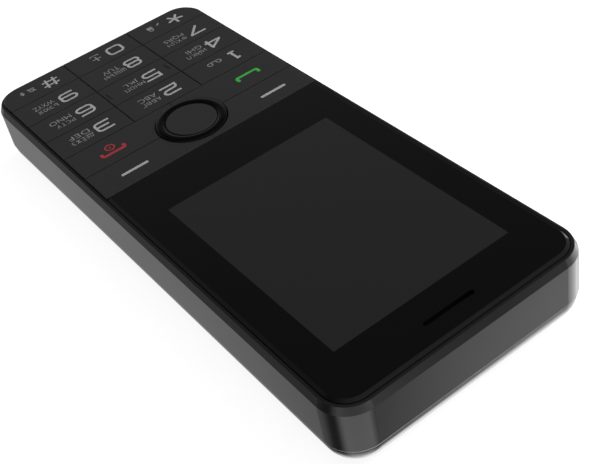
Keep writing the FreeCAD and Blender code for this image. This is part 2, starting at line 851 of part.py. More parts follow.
def make_backlight_frame():
    """Open tray that holds the light guide and locates the panel."""
    piece = Moulding("backlight_frame")
    piece.pad(tray_base_z, tray_base_z + d.tray_height, draw_rectangle, -tray_half_width,
              tray_half_width, tray_bottom_y, tray_top_y)
    piece.pocket(panel_base_z, tray_base_z + d.tray_height, draw_rectangle, -panel_half_width,
                 panel_half_width, panel_bottom_y, panel_top_y)
    return piece.body


def make_lcd_flex():
    """Printed tail that folds down from the panel to its socket on the board."""
    piece = Moulding("lcd_flex")
    high = panel_base_z + d.panel_thickness / 2 + d.flex_thickness
    low = board_top_z + d.connector_height + d.flex_thickness
    fold_y = tray_bottom_y - d.module_clearance / 2
    end_y = fold_y - d.flex_reach
    thickness = d.flex_thickness
    sketch = piece.sketch(0, "YZ_Plane")
    draw_polygon(sketch, [
        (panel_bottom_y + d.tray_wall, high - thickness),
        (panel_bottom_y + d.tray_wall, high),
        (fold_y - thickness, high),
        (fold_y - thickness, low),
        (end_y, low),
        (end_y, low - thickness),
        (fold_y, low - thickness),
        (fold_y, high - thickness),
    ])
    feature = piece.feature("Pad", Profile=sketch)
    bind(feature, "Length", d.flex_width)
    feature.Midplane = True
    return piece.body


def make_lcd_connector():
    end_y = tray_bottom_y - d.module_clearance / 2 - d.flex_reach
    body = add_centred_block("connector_body", as_size(0), end_y + d.flex_reach / 4, d.flex_width,
                             d.flex_reach, board_top_z, board_top_z + d.connector_height)
    latch = add_centred_block("connector_relief", as_size(0), end_y + d.flex_reach / 4,
                              d.flex_width - d.flex_reach, d.flex_reach / 3,
                              board_top_z + d.connector_height / 2, board_top_z + d.connector_height)
    return add_difference("lcd_connector", body, [latch])


# ---------------------------------------------------------------- keys
def key_column(index):
    """Left and right edges of a digit key's column."""
    gap = d.key_gap / 2
    if index == 0:
        return -keypad_half_width, -column_line_x - gap
    if index == 1:
        return gap - column_line_x, column_line_x - gap
    return column_line_x + gap, keypad_half_width


def key_row(index):
    """Lower and upper edges of a digit key's row."""
    gap = d.key_row_gap / 2
    top = digits_top_y - digit_row_pitch * index - gap
    if index == len(DIGIT_KEYS) - 1:
        return keypad_end_y, top
    return digits_top_y - digit_row_pitch * (index + 1) + gap, top


def add_stem(piece, x, y, base=None):
    piece.pad(stem_end_z, base or key_inside_z + d.key_top_wall / 4, draw_circle, x, y, d.stem_radius)


def digit_centre(row, column):
    left, right = key_column(column)
    bottom, top = key_row(row)
    return (left + right) / 2, (bottom + top) / 2


def make_digit_key(name, row, column):
    """Hollow cap with a stem; the end keys of the last row follow the housing's corners."""
    piece = Moulding(name)
    left, right = key_column(column)
    bottom, top = key_row(row)
    piece.pad(key_base_z, key_top_z, draw_rectangle, left, right, bottom, top)
    if row == len(DIGIT_KEYS) - 1 and column != 1:
        outer = left.value if column == 0 else right.value
        piece.fillet(keypad_radius, lambda box: (abs(box.XMin - outer) < EDGE_TOLERANCE
                                                 and abs(box.XMax - outer) < EDGE_TOLERANCE
                                                 and abs(box.YMax - bottom.value) < EDGE_TOLERANCE))
    piece.chamfer(d.key_edge, level_with(key_top_z))
    inset = d.key_wall
    low_inset = keypad_radius / 2 if row == len(DIGIT_KEYS) - 1 else inset
    piece.pocket(key_base_z, key_inside_z, draw_rectangle, left + inset, right - inset,
                 bottom + low_inset, top - inset, d.key_corner, d.key_corner)
    x, y = digit_centre(row, column)
    add_stem(piece, x, y)
    if name == "key_5":
        add_tactile_bars(piece, y)
    return piece.body


def add_tactile_bars(piece, y):
    """Two raised bars along the sides of the middle key, found by touch."""
    reach = d.tactile_bar_length / 2

    def bars(sketch):
        for side in (-1, 1):
            x = side * (column_line_x - d.tactile_bar_inset)
            draw_rectangle(sketch, x - d.tactile_bar_width / 2, x + d.tactile_bar_width / 2,
                           y - reach, y + reach)
    piece.pad(key_top_z - d.key_top_wall / 4, key_top_z + d.tactile_bar_rise, bars)


def function_centre(side, upper):
    left, right = key_column(0 if side < 0 else 2)
    if upper:
        return (left + right) / 2, (nav_y + keypad_top_y) / 2
    return (left + right) / 2, (nav_y + digits_top_y) / 2


def make_function_key(name, side, upper):
    """Cap beside the navigation ring, scooped out to the ring's circle, square where two caps meet."""
    piece = Moulding(name)
    gap = d.key_row_gap / 2
    bottom = nav_y + gap if upper else digits_top_y + gap
    top = keypad_top_y if upper else nav_y - gap
    split = side * d.key_split_gap / 2
    edges = (split, keypad_half_width) if side > 0 else (-keypad_half_width, split)
    scoop_radius = d.ring_radius + d.round_gap
    piece.pad(key_base_z, key_top_z, draw_rectangle, *edges, bottom, top)
    piece.pocket(key_base_z, key_top_z, draw_circle, 0, nav_y, scoop_radius)
    on_top = level_with(key_top_z)
    piece.chamfer(d.key_edge, lambda box: on_top(box) and (abs(box.XMin - split.value) > EDGE_TOLERANCE
                                                           or box.XLength > EDGE_TOLERANCE))
    left, right = key_column(0 if side < 0 else 2)
    piece.pocket(key_base_z, key_inside_z, draw_rectangle, left + d.key_wall, right - d.key_wall,
                 bottom + d.key_wall, top - d.key_wall, d.key_corner, d.key_corner)
    x, y = function_centre(side, upper)
    add_stem(piece, x, y)
    return piece.body


def make_nav_ring():
    """Crowned ring that is turned from one profile round the select key."""
    piece = Moulding("nav_ring")
    inner, outer = ring_inner_radius, d.ring_radius
    shoulder = d.body_height + d.ring_rise - d.ring_crown
    sketch = piece.sketch(-nav_y, "XZ_Plane")
    middle = (inner + outer) / 2
    half_chord = (outer - inner).value / 2
    rise = d.ring_crown.value
    crown_radius = (half_chord ** 2 + rise ** 2) / (2 * rise)
    sweep = math.degrees(math.asin(half_chord / crown_radius))
    low, high = key_base_z.value, shoulder.value
    first = sketch.addGeometry([
        line(inner.value, low, outer.value, low),
        line(outer.value, low, outer.value, high),
        arc(middle.value, high + rise - crown_radius, crown_radius, 90 - sweep, 90 + sweep),
        line(inner.value, high, inner.value, low),
    ], False)[0]
    for before, after in ((0, 1), (1, 2), (2, 3), (3, 0)):
        sketch.addConstraint(Sketcher.Constraint("Coincident", first + before, 2, first + after, 1))
    sketch.addConstraint(Sketcher.Constraint("Horizontal", first))
    sketch.addConstraint(Sketcher.Constraint("Vertical", first + 1))
    sketch.addConstraint(Sketcher.Constraint("Vertical", first + 3))
    hold(sketch, "DistanceX", first, 1, inner)
    hold(sketch, "DistanceX", first, 2, outer)
    hold(sketch, "DistanceY", first, 1, key_base_z)
    hold(sketch, "DistanceY", first + 1, 2, shoulder)
    hold(sketch, "DistanceY", first + 3, 1, shoulder)
    chord_square = (outer - inner) * (outer - inner) / 4
    radius = (chord_square + d.ring_crown * d.ring_crown) / (d.ring_crown * 2)
    add_datum(sketch, Sketcher.Constraint("Radius", first + 2, radius.value), radius)
    feature = piece.feature("Revolution", Profile=sketch, ReferenceAxis=(sketch, ["V_Axis"]))
    feature.Angle = 360
    piece.fillet(d.ring_edge, level_with(shoulder))
    return piece.body


def make_select_key():
    """Round middle key with a shallow hollow under its cap; it stands a little above the screen."""
    piece = Moulding("select_key")
    top_z = d.body_height + d.select_rise
    base_z = top_z - d.select_height
    piece.pad(base_z, top_z, draw_circle, 0, nav_y, d.select_radius)
    piece.chamfer(d.key_edge, level_with(top_z))
    piece.pocket(base_z, base_z + d.select_height / 3, draw_circle, 0, nav_y,
                 d.select_radius - d.key_wall)
    add_stem(piece, 0, nav_y, top_z - d.select_height / 2)
    return piece.body


def make_nav_rocker():
    """Plate under the ring with one foot for each of the four directions."""
    piece = Moulding("nav_rocker")
    top_z = key_base_z - d.rocker_tilt_gap

    def plate(sketch):
        draw_circle(sketch, 0, nav_y, d.rocker_rim)
        draw_circle(sketch, 0, nav_y, d.rocker_bore)

    def feet(sketch):
        for x, y in rocker_feet():
            draw_circle(sketch, x, y, d.rocker_foot_radius)
    piece.pad(top_z - d.rocker_thickness, top_z, plate)
    piece.pad(stem_end_z, top_z - d.rocker_thickness / 2, feet)
    return piece.body


def rocker_feet():
    return [(as_size(0), nav_y + d.rocker_radius), (as_size(0), nav_y - d.rocker_radius),
            (-d.rocker_radius, nav_y), (d.rocker_radius, nav_y)]


# ---------------------------------------------------------------- keypad layers
def stem_spots():
    spots = [digit_centre(row, column) for row in range(len(DIGIT_KEYS)) for column in range(3)]
    spots += [function_centre(side, upper) for side in (-1, 1) for upper in (True, False)]
    return spots


def contact_spots():
    return stem_spots() + [(as_size(0), nav_y)] + rocker_feet()


def cut_boss_notches(sketch):
    for x, y in lower_bosses:
        draw_circle(sketch, x, y, d.boss_radius + d.boss_clearance)


def cut_jack_notch(sketch):
    """Outline of the cut-out that the headphone socket sits in."""
    reach = d.jack_width / 2 + d.boss_clearance
    draw_rectangle(sketch, d.jack_x - reach, d.jack_x + reach, -half_length,
                   d.jack_length + d.port_recess + d.boss_clearance - half_length)


def make_keypad_stiffener():
    """Pierced steel plate on the ledge; it stops the caps from being pushed in."""
    piece = Moulding("keypad_stiffener")
    side = inner_half_width - d.stiffener_side_gap
    piece.pad(stiffener_base_z, stiffener_top_z, draw_rectangle, -side, side,
              d.stiffener_side_gap - inner_half_length, bar_end_y - d.stiffener_side_gap,
              inner_radius - d.stiffener_side_gap)

    def holes(sketch):
        for x, y in stem_spots():
            draw_circle(sketch, x, y, d.stem_radius + d.stem_hole_gap)
        draw_circle(sketch, 0, nav_y, d.ring_radius + d.round_gap * 2)
    piece.pocket(stiffener_base_z, stiffener_top_z, holes)
    return piece.body


def make_keypad_mat():
    """Silicone sheet with a rim that stands on the board and a nub over each dome."""
    piece = Moulding("keypad_mat")
    piece.pad(board_top_z + d.dome_film, mat_top_z, draw_rectangle, -mat_half_width, mat_half_width,
              mat_end_y, mat_top_y, d.window_radius, d.window_radius)
    inner_mat = mat_half_width - d.mat_rim
    piece.pocket(board_top_z + d.dome_film, mat_base_z, draw_rectangle, -inner_mat, inner_mat,
                 mat_end_y + d.mat_rim, mat_top_y - d.mat_rim)
    piece.pocket(board_top_z + d.dome_film, mat_top_z, cut_boss_notches)
    piece.pocket(board_top_z + d.dome_film, mat_top_z, cut_jack_notch)

    def nubs(sketch):
        for x, y in contact_spots():
            draw_circle(sketch, x, y, d.mat_nub_radius)
    piece.pad(mat_base_z - d.mat_nub_height, mat_base_z + d.mat_thickness / 2, nubs)
    return piece.body


def make_dome_film():
    """Film that holds the metal domes in place on the board."""
    piece = Moulding("dome_film")
    piece.pad(board_top_z, board_top_z + d.dome_film, draw_rectangle, -mat_half_width, mat_half_width,
              mat_end_y, mat_top_y, d.window_radius, d.window_radius)

    def holes(sketch):
        for x, y in contact_spots():
            draw_circle(sketch, x, y, d.dome_radius + d.dome_film_gap)
    piece.pocket(board_top_z, board_top_z + d.dome_film, holes)
    piece.pocket(board_top_z, board_top_z + d.dome_film, cut_boss_notches)
    piece.pocket(board_top_z, board_top_z + d.dome_film, cut_jack_notch)
    return piece.body


def make_metal_domes():
    """One sprung disc for each key and for each direction of the ring."""
    ball = (d.dome_radius * d.dome_radius + d.dome_height * d.dome_height) / (d.dome_height * 2)
    rim_angle = math.degrees(math.acos(d.dome_radius.value / ball.value))
    domes = []
    for index, (x, y) in enumerate(contact_spots(), start=1):
        dome = document.addObject("Part::Sphere", f"dome_{index}")
        bind(dome, "Radius", ball)
        dome.Angle1 = rim_angle
        dome.setExpression("Angle1", f"acos({d.dome_radius.text} / {ball.text})")
        dome.Angle2 = 90
        for axis, size in (("x", x), ("y", y), ("z", dome_top_z - ball)):
            bind(dome, f"Placement.Base.{axis}", size)
        domes.append(dome)
    return add_group("metal_domes", domes)


def make_keypad_leds():
    x = (mat_half_width + board_half_width) / 2
    lamps = []
    for side in (-1, 1):
        for index, share in enumerate(LED_SHARES, start=1):
            name = f"led_{'left' if side < 0 else 'right'}_{index}"
            lamps.append(add_centred_block(name, side * x, half_length * share, d.led_width, d.led_length,
                                           board_top_z, board_top_z + d.led_height))
    return add_group("keypad_leds", lamps)


# ---------------------------------------------------------------- board and its parts
def make_main_board():
    """Circuit board with clearance for the bosses and a cut-out for the headphone socket."""
    piece = Moulding("main_board")
    piece.pad(board_base_z, board_top_z, draw_rectangle, -board_half_width, board_half_width,
              -board_half_length, board_half_length, d.board_corner, d.board_corner)

    def corners(sketch):
        for x, y in corner_bosses:
            draw_circle(sketch, x, y, d.boss_radius + d.boss_clearance)

    def sides(sketch):
        for x, y in side_bosses:
            draw_circle(sketch, x, y, d.side_boss_radius + d.boss_clearance)
    piece.pocket(board_base_z, board_top_z, corners)
    piece.pocket(board_base_z, board_top_z, sides)
    piece.pocket(board_base_z, board_top_z, cut_jack_notch)
    return piece.body


def make_shield_can(name, left, right):
    """Pressed steel lid, open towards the board, with cooling holes."""
    piece = Moulding(name)
    low_z = hanging_z - d.can_height
    bottom, top = middle_y - d.can_length / 2, middle_y + d.can_length / 2
    piece.pad(low_z, hanging_z, draw_rectangle, left, right, bottom, top, d.can_corner, d.can_corner)
    piece.pocket(low_z + d.can_sheet, hanging_z, draw_rectangle, left + d.can_sheet, right - d.can_sheet,
                 bottom + d.can_sheet, top - d.can_sheet)
    middle_x = (left + right) / 2

    def vents(sketch):
        for row in (-1, 0, 1):
            for column in (-1, 0, 1):
                draw_circle(sketch, middle_x + (right - left) / 4 * column,
                            middle_y + d.can_length / 4 * row, d.can_vent_radius)
    piece.pocket(low_z, low_z + d.can_sheet, vents)
    return piece.body


def make_card_holder(name, x, y, width, length):
    """Sheet-steel card holder: a shallow box open at its lower end."""
    top_z = hanging_z
    low_z = top_z - d.card_height
    outer = add_centred_block(f"{name}_shell", x, y, width, length, low_z, top_z)
    space = add_block(f"{name}_space", x - width / 2 + d.sim_sheet, x + width / 2 - d.sim_sheet,
                      y - length / 2 - d.sim_sheet, y + length / 2 - d.sim_sheet,
                      low_z + d.sim_sheet, top_z)
    thumb = add_cylinder(f"{name}_thumb_cut", x, y - length / 2, low_z - d.sim_sheet,
                         low_z + d.sim_sheet * 2, width / 5)
    return add_difference(name, outer, [space, thumb])


def make_battery_contacts():
    """Insulating block with three sprung blades that reach into the battery bay."""
    low_z = chamber_floor_z + d.contact_seat
    near_y = bay_top_y + d.chassis_gap * 2
    block = add_block("contact_block", d.contact_block_x - d.contact_block_width / 2,
                      d.contact_block_x + d.contact_block_width / 2, near_y,
                      near_y + d.contact_block_length, low_z, hanging_z)
    blades = []
    for step in (-1, 0, 1):
        x = d.contact_block_x + step * d.contact_pitch
        blades.append(add_block(f"contact_blade_{step + 2}", x - d.contact_width / 2,
                                x + d.contact_width / 2, battery_top_y + d.seat_gap,
                                near_y, low_z + d.contact_width / 2,
                                bay_floor_z - d.contact_drop))
    return add_union("battery_contacts", [block] + blades)


def make_camera_module():
    """Square sensor housing with a barrel that looks out through the back."""
    piece = Moulding("camera_module")
    low_z = chamber_floor_z + d.camera_seat
    end_z = d.cover_wall + d.camera_gap
    half = d.camera_body / 2
    piece.pad(low_z, hanging_z, draw_rectangle, -half, half, camera_y - half, camera_y + half)
    piece.pad(end_z, (low_z + hanging_z) / 2, draw_circle, 0, camera_y, d.camera_barrel_radius)
    piece.pocket(end_z, (end_z + low_z) / 2, draw_circle, 0, camera_y, d.camera_pupil_radius)
    return piece.body


def make_torch_led():
    x, y = d.torch_x, camera_y
    body = add_centred_block("torch_body", x, y, d.torch_body, d.torch_body, chamber_floor_z + d.seat_gap,
                             hanging_z)
    bulb = add_cylinder("torch_dome", x, y, d.chassis_base, chamber_floor_z + d.seat_gap * 2,
                        d.torch_hole_radius - d.seat_gap)
    return add_union("torch_led", [body, bulb])


def make_loudspeaker():
    """Rounded driver with a raised cone surround, sprung against the board."""
    piece = Moulding("loudspeaker")
    low_z = chamber_floor_z + d.seat_gap / 2
    top_z = low_z + d.speaker_height
    half_x, half_y = speaker_width / 2, d.speaker_length / 2
    piece.pad(low_z, top_z, draw_rectangle, speaker_x - half_x, speaker_x + half_x,
              camera_y - half_y, camera_y + half_y, d.speaker_corner, d.speaker_corner)
    piece.pocket(low_z, low_z + d.speaker_height / 5, draw_circle, speaker_x, camera_y,
                 half_x - d.chassis_wall)
    piece.pad(low_z, low_z + d.speaker_height / 4, draw_circle, speaker_x, camera_y, half_x / 2)

    def springs(sketch):
        for side in (-1, 1):
            x = speaker_x + side * d.spring_x
            y = camera_y + half_y - d.spring_inset
            draw_rectangle(sketch, x - d.spring_width / 2, x + d.spring_width / 2, y - d.spring_length, y)
    piece.pad(top_z - d.speaker_height / 5, hanging_z, springs)
    return piece.body


def make_vibration_motor():
    low_z = chamber_floor_z + d.seat_gap / 2
    can = add_cylinder("motor_can", motor_x, middle_y, low_z, low_z + d.motor_height, d.motor_radius)
    top_z = low_z + d.motor_height
    pad = add_cylinder("motor_foam", motor_x, middle_y, top_z, hanging_z, d.motor_foam_radius)
    return add_union("vibration_motor", [can, pad])


def make_usb_socket():
    """Folded steel shell, narrower below, round a contact tongue."""
    piece = Moulding("usb_socket")
    mouth = half_length - d.port_recess
    sketch = piece.sketch(mouth, "XZ_Plane")
    half, tall, sheet_in = d.usb_width / 2, d.usb_height / 2, d.usb_sheet
    slope, bevel = d.usb_slope, d.usb_inner_slope
    low, high = usb_centre_z - tall, usb_centre_z + tall
    draw_polygon(sketch, [(-half, high), (-half, low + slope), (slope - half, low),
                          (half - slope, low), (half, low + slope), (half, high)])
    feature = piece.feature("Pad", Profile=sketch)
    bind(feature, "Length", d.usb_length)
    feature.Reversed = True
    sketch = piece.sketch(mouth, "XZ_Plane")
    inner = half - sheet_in
    draw_polygon(sketch, [(-inner, high - sheet_in), (-inner, low + sheet_in + bevel),
                          (bevel - inner, low + sheet_in), (inner - bevel, low + sheet_in),
                          (inner, low + sheet_in + bevel), (inner, high - sheet_in)])
    feature = piece.feature("Pocket", Profile=sketch)
    bind(feature, "Length", d.usb_length - d.usb_sheet)
    sketch = piece.sketch(mouth - d.usb_sheet, "XZ_Plane")
    tongue = d.usb_tongue_width / 2
    tongue_z = usb_centre_z + d.usb_tongue / 4
    draw_rectangle(sketch, -tongue, tongue, tongue_z, tongue_z + d.usb_tongue)
    feature = piece.feature("Pad", Profile=sketch)
    bind(feature, "Length", d.usb_length - d.usb_sheet)
    feature.Reversed = True
    return piece.body


def make_headphone_jack():
    """Moulded socket body with a round collar in the wall and a blind bore."""
    piece = Moulding("headphone_jack")
    mouth = half_length - d.port_recess
    shoulder = inner_half_length - d.port_gap
    half, tall = d.jack_width / 2, d.jack_height / 2
    sketch = piece.sketch(shoulder, "XZ_Plane")
    draw_rectangle(sketch, d.jack_x - half, d.jack_x + half, jack_z - tall, jack_z + tall)
    body = piece.feature("Pad", Profile=sketch)
    bind(body, "Length", d.jack_length - (mouth - shoulder))
    body.Reversed = True
    sketch = piece.sketch(mouth, "XZ_Plane")
    draw_circle(sketch, d.jack_x, jack_z, d.jack_collar_radius)
    collar = piece.feature("Pad", Profile=sketch)
    bind(collar, "Length", d.housing_wall * 2)
    collar.Reversed = True
    sketch = piece.sketch(mouth, "XZ_Plane")
    draw_circle(sketch, d.jack_x, jack_z, d.jack_bore_radius)
    bore = piece.feature("Pocket", Profile=sketch)
    bind(bore, "Length", d.jack_bore_depth)
    return piece.body


def make_microphone():
    """Capsule in a rubber boot that leads sound from the wall's pinhole."""
    y = d.port_gap + d.mic_boot_length / 2 - inner_half_length
    top_z = hanging_z
    capsule = add_cylinder("microphone", d.mic_x, y, top_z - d.mic_height, top_z, d.mic_radius)
    capsule.Label = "microphone"
    boot = add_centred_block("boot_body", d.mic_x, y, d.mic_boot_width, d.mic_boot_length,
                             top_z - d.mic_boot_height, top_z)
    socket = add_cylinder("boot_socket", d.mic_x, y, top_z - d.mic_height - d.seat_gap / 2,
                          top_z + d.mic_height, d.mic_radius + d.seat_gap / 2)
    duct = document.addObject("Part::Cylinder", "boot_duct")
    bind(duct, "Radius", d.mic_hole_radius)
    bind(duct, "Height", d.mic_boot_length / 2)
    duct.Placement.Rotation = FreeCAD.Rotation(FreeCAD.Vector(1, 0, 0), 90)
    for axis, size in (("x", d.mic_x), ("y", y), ("z", mic_z)):
        bind(duct, f"Placement.Base.{axis}", size)
    return capsule, add_difference("microphone_boot", boot, [socket, duct])


# ---------------------------------------------------------------- rear chassis
def make_rear_chassis():
    """Moulded tray: battery bay below, part chambers above, stepped for the cover's tabs."""
    piece = Moulding("rear_chassis")
    step_radius = inner_radius - d.chassis_gap - d.chassis_step
    piece.pad(d.chassis_base, chassis_step_z, draw_rectangle, -step_half_width, step_half_width,
              -step_half_length, step_half_length, step_radius, step_radius)
    piece.pad(chassis_step_z, chassis_top_z, draw_rectangle, -chassis_half_width,
              chassis_half_width, -chassis_half_length, chassis_half_length,
              inner_radius - d.chassis_gap, inner_radius - d.chassis_gap)
    piece.fillet(d.chassis_wall, level_with(d.chassis_base))
    piece.pocket(d.chassis_base, bay_floor_z, draw_rectangle, -bay_half_width, bay_half_width,
                 bay_end_y, bay_top_y, d.battery_edge, d.battery_edge)
    upper_chamber_y = bay_top_y + d.chamber_wall
    lower_chamber_y = bay_end_y - d.chamber_wall
    chamber_reach = step_half_length - d.chamber_end_wall / 2
    piece.pocket(chamber_floor_z, chassis_top_z, draw_rectangle, -chamber_half_width,
                 chamber_half_width, upper_chamber_y, chamber_reach, d.chassis_wall, d.chassis_wall)
    piece.pocket(chamber_floor_z, chassis_top_z, draw_rectangle, -chamber_half_width,
                 chamber_half_width, -chamber_reach, lower_chamber_y, d.chassis_wall, d.chassis_wall)
    cut_board_windows(piece, upper_chamber_y)
    cut_sound_and_light_ways(piece)
    cut_port_ways(piece)
    cut_screw_ways(piece)
    return piece.body


def cut_board_windows(piece, upper_chamber_y):
    """Windows in the bay's floor for the card holders, and a slot for the battery contacts."""
    gap = d.card_gap

    def windows(sketch):
        for x, y, width, length in (
                (-d.sim_x, sim_y, d.sim_width, d.sim_length),
                (d.sim_x, sim_y, d.sim_width, d.sim_length),
                (as_size(0), memory_y, d.memory_width, d.memory_length)):
            draw_rectangle(sketch, x - width / 2 - gap, x + width / 2 + gap,
                           y - length / 2 - gap, y + length / 2 + gap)
    piece.pocket(bay_floor_z, chassis_top_z, windows)
    reach = d.contact_block_width / 2 + gap
    piece.pocket(chamber_floor_z, chassis_top_z, draw_rectangle, d.contact_block_x - reach,
                 d.contact_block_x + reach, bay_top_y - gap, upper_chamber_y + gap)


def cut_sound_and_light_ways(piece):
    """Openings in the chamber's floor for the loudspeaker, the camera and the torch."""
    def ways(sketch):
        reach = speaker_width / 2 - d.speaker_corner
        draw_rectangle(sketch, speaker_x - reach, speaker_x + reach, camera_y - reach,
                       camera_y + reach, d.speaker_corner, d.speaker_corner)
        draw_circle(sketch, 0, camera_y, d.camera_barrel_radius + d.card_gap)
        draw_circle(sketch, d.torch_x, camera_y, d.torch_hole_radius)
    piece.pocket(d.chassis_base, chamber_floor_z, ways)


def cut_port_ways(piece):
    """Clear the lower end wall of the chassis for the sockets and the microphone boot."""
    gap = d.card_gap
    reach = chassis_half_length + gap
    inside_y = d.chamber_end_wall * 2 - step_half_length

    def ways(sketch):
        usb = d.usb_width / 2 + gap
        draw_rectangle(sketch, -usb, usb, -reach, inside_y)
        jack = d.jack_width / 2 + gap
        draw_rectangle(sketch, d.jack_x - jack, d.jack_x + jack, -reach, inside_y)
        boot = d.mic_boot_width / 2 + gap
        draw_rectangle(sketch, d.mic_x - boot, d.mic_x + boot, -reach, inside_y)
    piece.pocket(jack_z - d.jack_height / 2 - gap, chassis_top_z, ways)


def cut_screw_ways(piece):
    """Screw holes through the upper flange, reached from below through wider wells."""
    seat_z = chassis_top_z - d.screw_grip

    def holes(sketch):
        for x, y in corner_bosses + side_bosses:
            draw_circle(sketch, x, y, d.boss_pilot_radius + d.screw_head_gap / 2)

    def wells(sketch):
        for x, y in corner_bosses + side_bosses:
            draw_circle(sketch, x, y, d.screw_head_radius + d.screw_head_gap)
    piece.pocket(d.chassis_base, chassis_top_z, holes)
    piece.pocket(d.chassis_base, seat_z, wells)


def make_housing_screws():
    """Pan-head screws from the chassis into the bosses, with a round drive recess."""
    seat_z = chassis_top_z - d.screw_grip
    screws = []
    for index, (x, y) in enumerate(corner_bosses + side_bosses, start=1):
        shank = add_cylinder(f"screw_shank_{index}", x, y, seat_z - d.screw_head_height / 2,
                             chassis_top_z + d.screw_bite, d.screw_radius)
        head = add_cylinder(f"screw_head_{index}", x, y, seat_z - d.screw_head_height, seat_z,
                            d.screw_head_radius)
        solid = add_union(f"screw_solid_{index}", [shank, head])
        drive = add_cylinder(f"screw_drive_{index}", x, y, seat_z - d.screw_head_height,
                             seat_z - d.screw_head_height + d.screw_drive_depth, d.screw_drive_radius)
        screws.append(add_difference(f"screw_{index}", solid, [drive]))
    return add_group("housing_screws", screws)


def make_battery_pack():
    """Flat rounded cell with three contact pads sunk in its upper end."""
    piece = Moulding("battery_pack")
    low_z = d.cover_wall + d.battery_recess
    piece.pad(low_z, bay_floor_z - d.seat_gap, draw_rectangle, -battery_half_width, battery_half_width,
              battery_bottom_y, battery_top_y, d.battery_edge, d.battery_edge)
    piece.fillet(d.battery_edge, level_with(low_z))
    return piece.body


def make_antenna():
    """Flexible radiator on the chassis, slit into a meander."""
    piece = Moulding("antenna")
    top_z = d.chassis_base
    half = antenna_half_width
    piece.pad(top_z - d.antenna_thickness, top_z, draw_rectangle, -half, half, antenna_near_y,
              antenna_far_y)
    trace, slit, overrun = d.antenna_trace, d.antenna_slit, d.antenna_overrun

    def slits(sketch):
        draw_rectangle(sketch, -half - overrun, half - trace, antenna_near_y + trace,
                       antenna_near_y + trace + slit)
        draw_rectangle(sketch, trace - half, half + overrun, antenna_near_y + trace * 2 + slit,
                       antenna_near_y + trace * 2 + slit * 2)
    piece.pocket(top_z - d.antenna_thickness, top_z, slits)
    return piece.body


# ---------------------------------------------------------------- battery cover
def make_battery_cover():
    """Thin crowned shell with upright tabs that slip inside the housing's walls."""
    piece = Moulding("battery_cover")
    zero = as_size(0)
    piece.pad(zero, cover_top_z, draw_rectangle, -cover_half_width, cover_half_width,
              -cover_half_length, cover_half_length, cover_radius, cover_radius)
    shell_half_width = cover_half_width - d.cover_wall
    shell_half_length = cover_half_length - d.cover_wall
    shell_radius = cover_radius - d.cover_wall
    piece.pocket(d.cover_wall, cover_top_z, draw_rectangle, -shell_half_width, shell_half_width,
                 -shell_half_length, shell_half_length, shell_radius, shell_radius)
    piece.fillet(d.cover_inner_edge, level_with(d.cover_wall))
    piece.fillet(cover_top_z - d.cover_rim, level_with(0))
    add_cover_tabs(piece)
    cut_cover_windows(piece)
    cut_nail_notch(piece)
    return piece.body


def add_cover_tabs(piece):
    outer_x = inner_half_width - d.tab_gap
    outer_y = inner_half_length - d.tab_gap
    reach = d.tab_width / 2

    def tabs(sketch):
        for side in (-1, 1):
            for share in SIDE_TAB_SHARES:
                y = half_length * share
                near, far = sorted((side * outer_x, side * (outer_x - d.tab_thickness)),
                                   key=lambda size: size.value)
                draw_rectangle(sketch, near, far, y - reach, y + reach)
            for end in (-1, 1):
                near, far = sorted((end * outer_y, end * (outer_y - d.tab_thickness)),
                                   key=lambda size: size.value)
                draw_rectangle(sketch, side * tab_end_x - reach, side * tab_end_x + reach, near, far)
    piece.pad(d.tab_root, cover_top_z + d.tab_rise, tabs)


def cut_cover_windows(piece):
    """Camera and torch openings with a seat for each window, and the loudspeaker's slots."""
    def seats(sketch):
        draw_circle(sketch, 0, camera_y, d.camera_window_radius + d.window_gap)
        draw_circle(sketch, d.torch_x, camera_y, d.torch_window_radius + d.window_gap)

    def holes(sketch):
        draw_circle(sketch, 0, camera_y, d.camera_hole_radius)
        draw_circle(sketch, d.torch_x, camera_y, d.torch_hole_radius)

    def slots(sketch):
        count = int(d.slot_count.value)
        for step in range(count):
            y = camera_y + d.slot_pitch * (step - (count - 1) / 2)
            draw_slot(sketch, speaker_x, y, slot_length, d.slot_radius)
    zero = as_size(0)
    piece.pocket(zero, d.window_thickness + d.window_gap, seats)
    piece.pocket(zero, d.cover_wall, holes)
    piece.pocket(zero, d.cover_wall, slots)


def cut_nail_notch(piece):
    """Shallow scoop in the rim below the sockets, for a fingernail."""
    sketch = piece.sketch(cover_half_length, "XZ_Plane")
    draw_slot(sketch, 0, cover_top_z, d.nail_notch_width, d.nail_notch_depth)
    feature = piece.feature("Pocket", Profile=sketch)
    bind(feature, "Length", d.nail_notch_reach)


def make_cover_window(name, x, radius):
    """Clear disc glued in its seat, just below the cover's surface."""
    disc = add_cylinder(name, as_size(x), camera_y, d.window_gap / 2,
                        d.window_thickness + d.window_gap / 2, radius)
    disc.Label = name
    return disc


def make_speaker_mesh():
    """Dust screen on the inside of the cover, behind the slots."""
    reach = d.slot_pitch * (int(d.slot_count.value) - 1) + d.slot_radius * 4
    mesh = add_centred_block("speaker_mesh", speaker_x, camera_y, slot_length + d.slot_radius * 2,
                             reach, d.cover_wall, d.cover_wall + d.mesh_thickness)
    mesh.Label = "speaker_mesh"
    return mesh


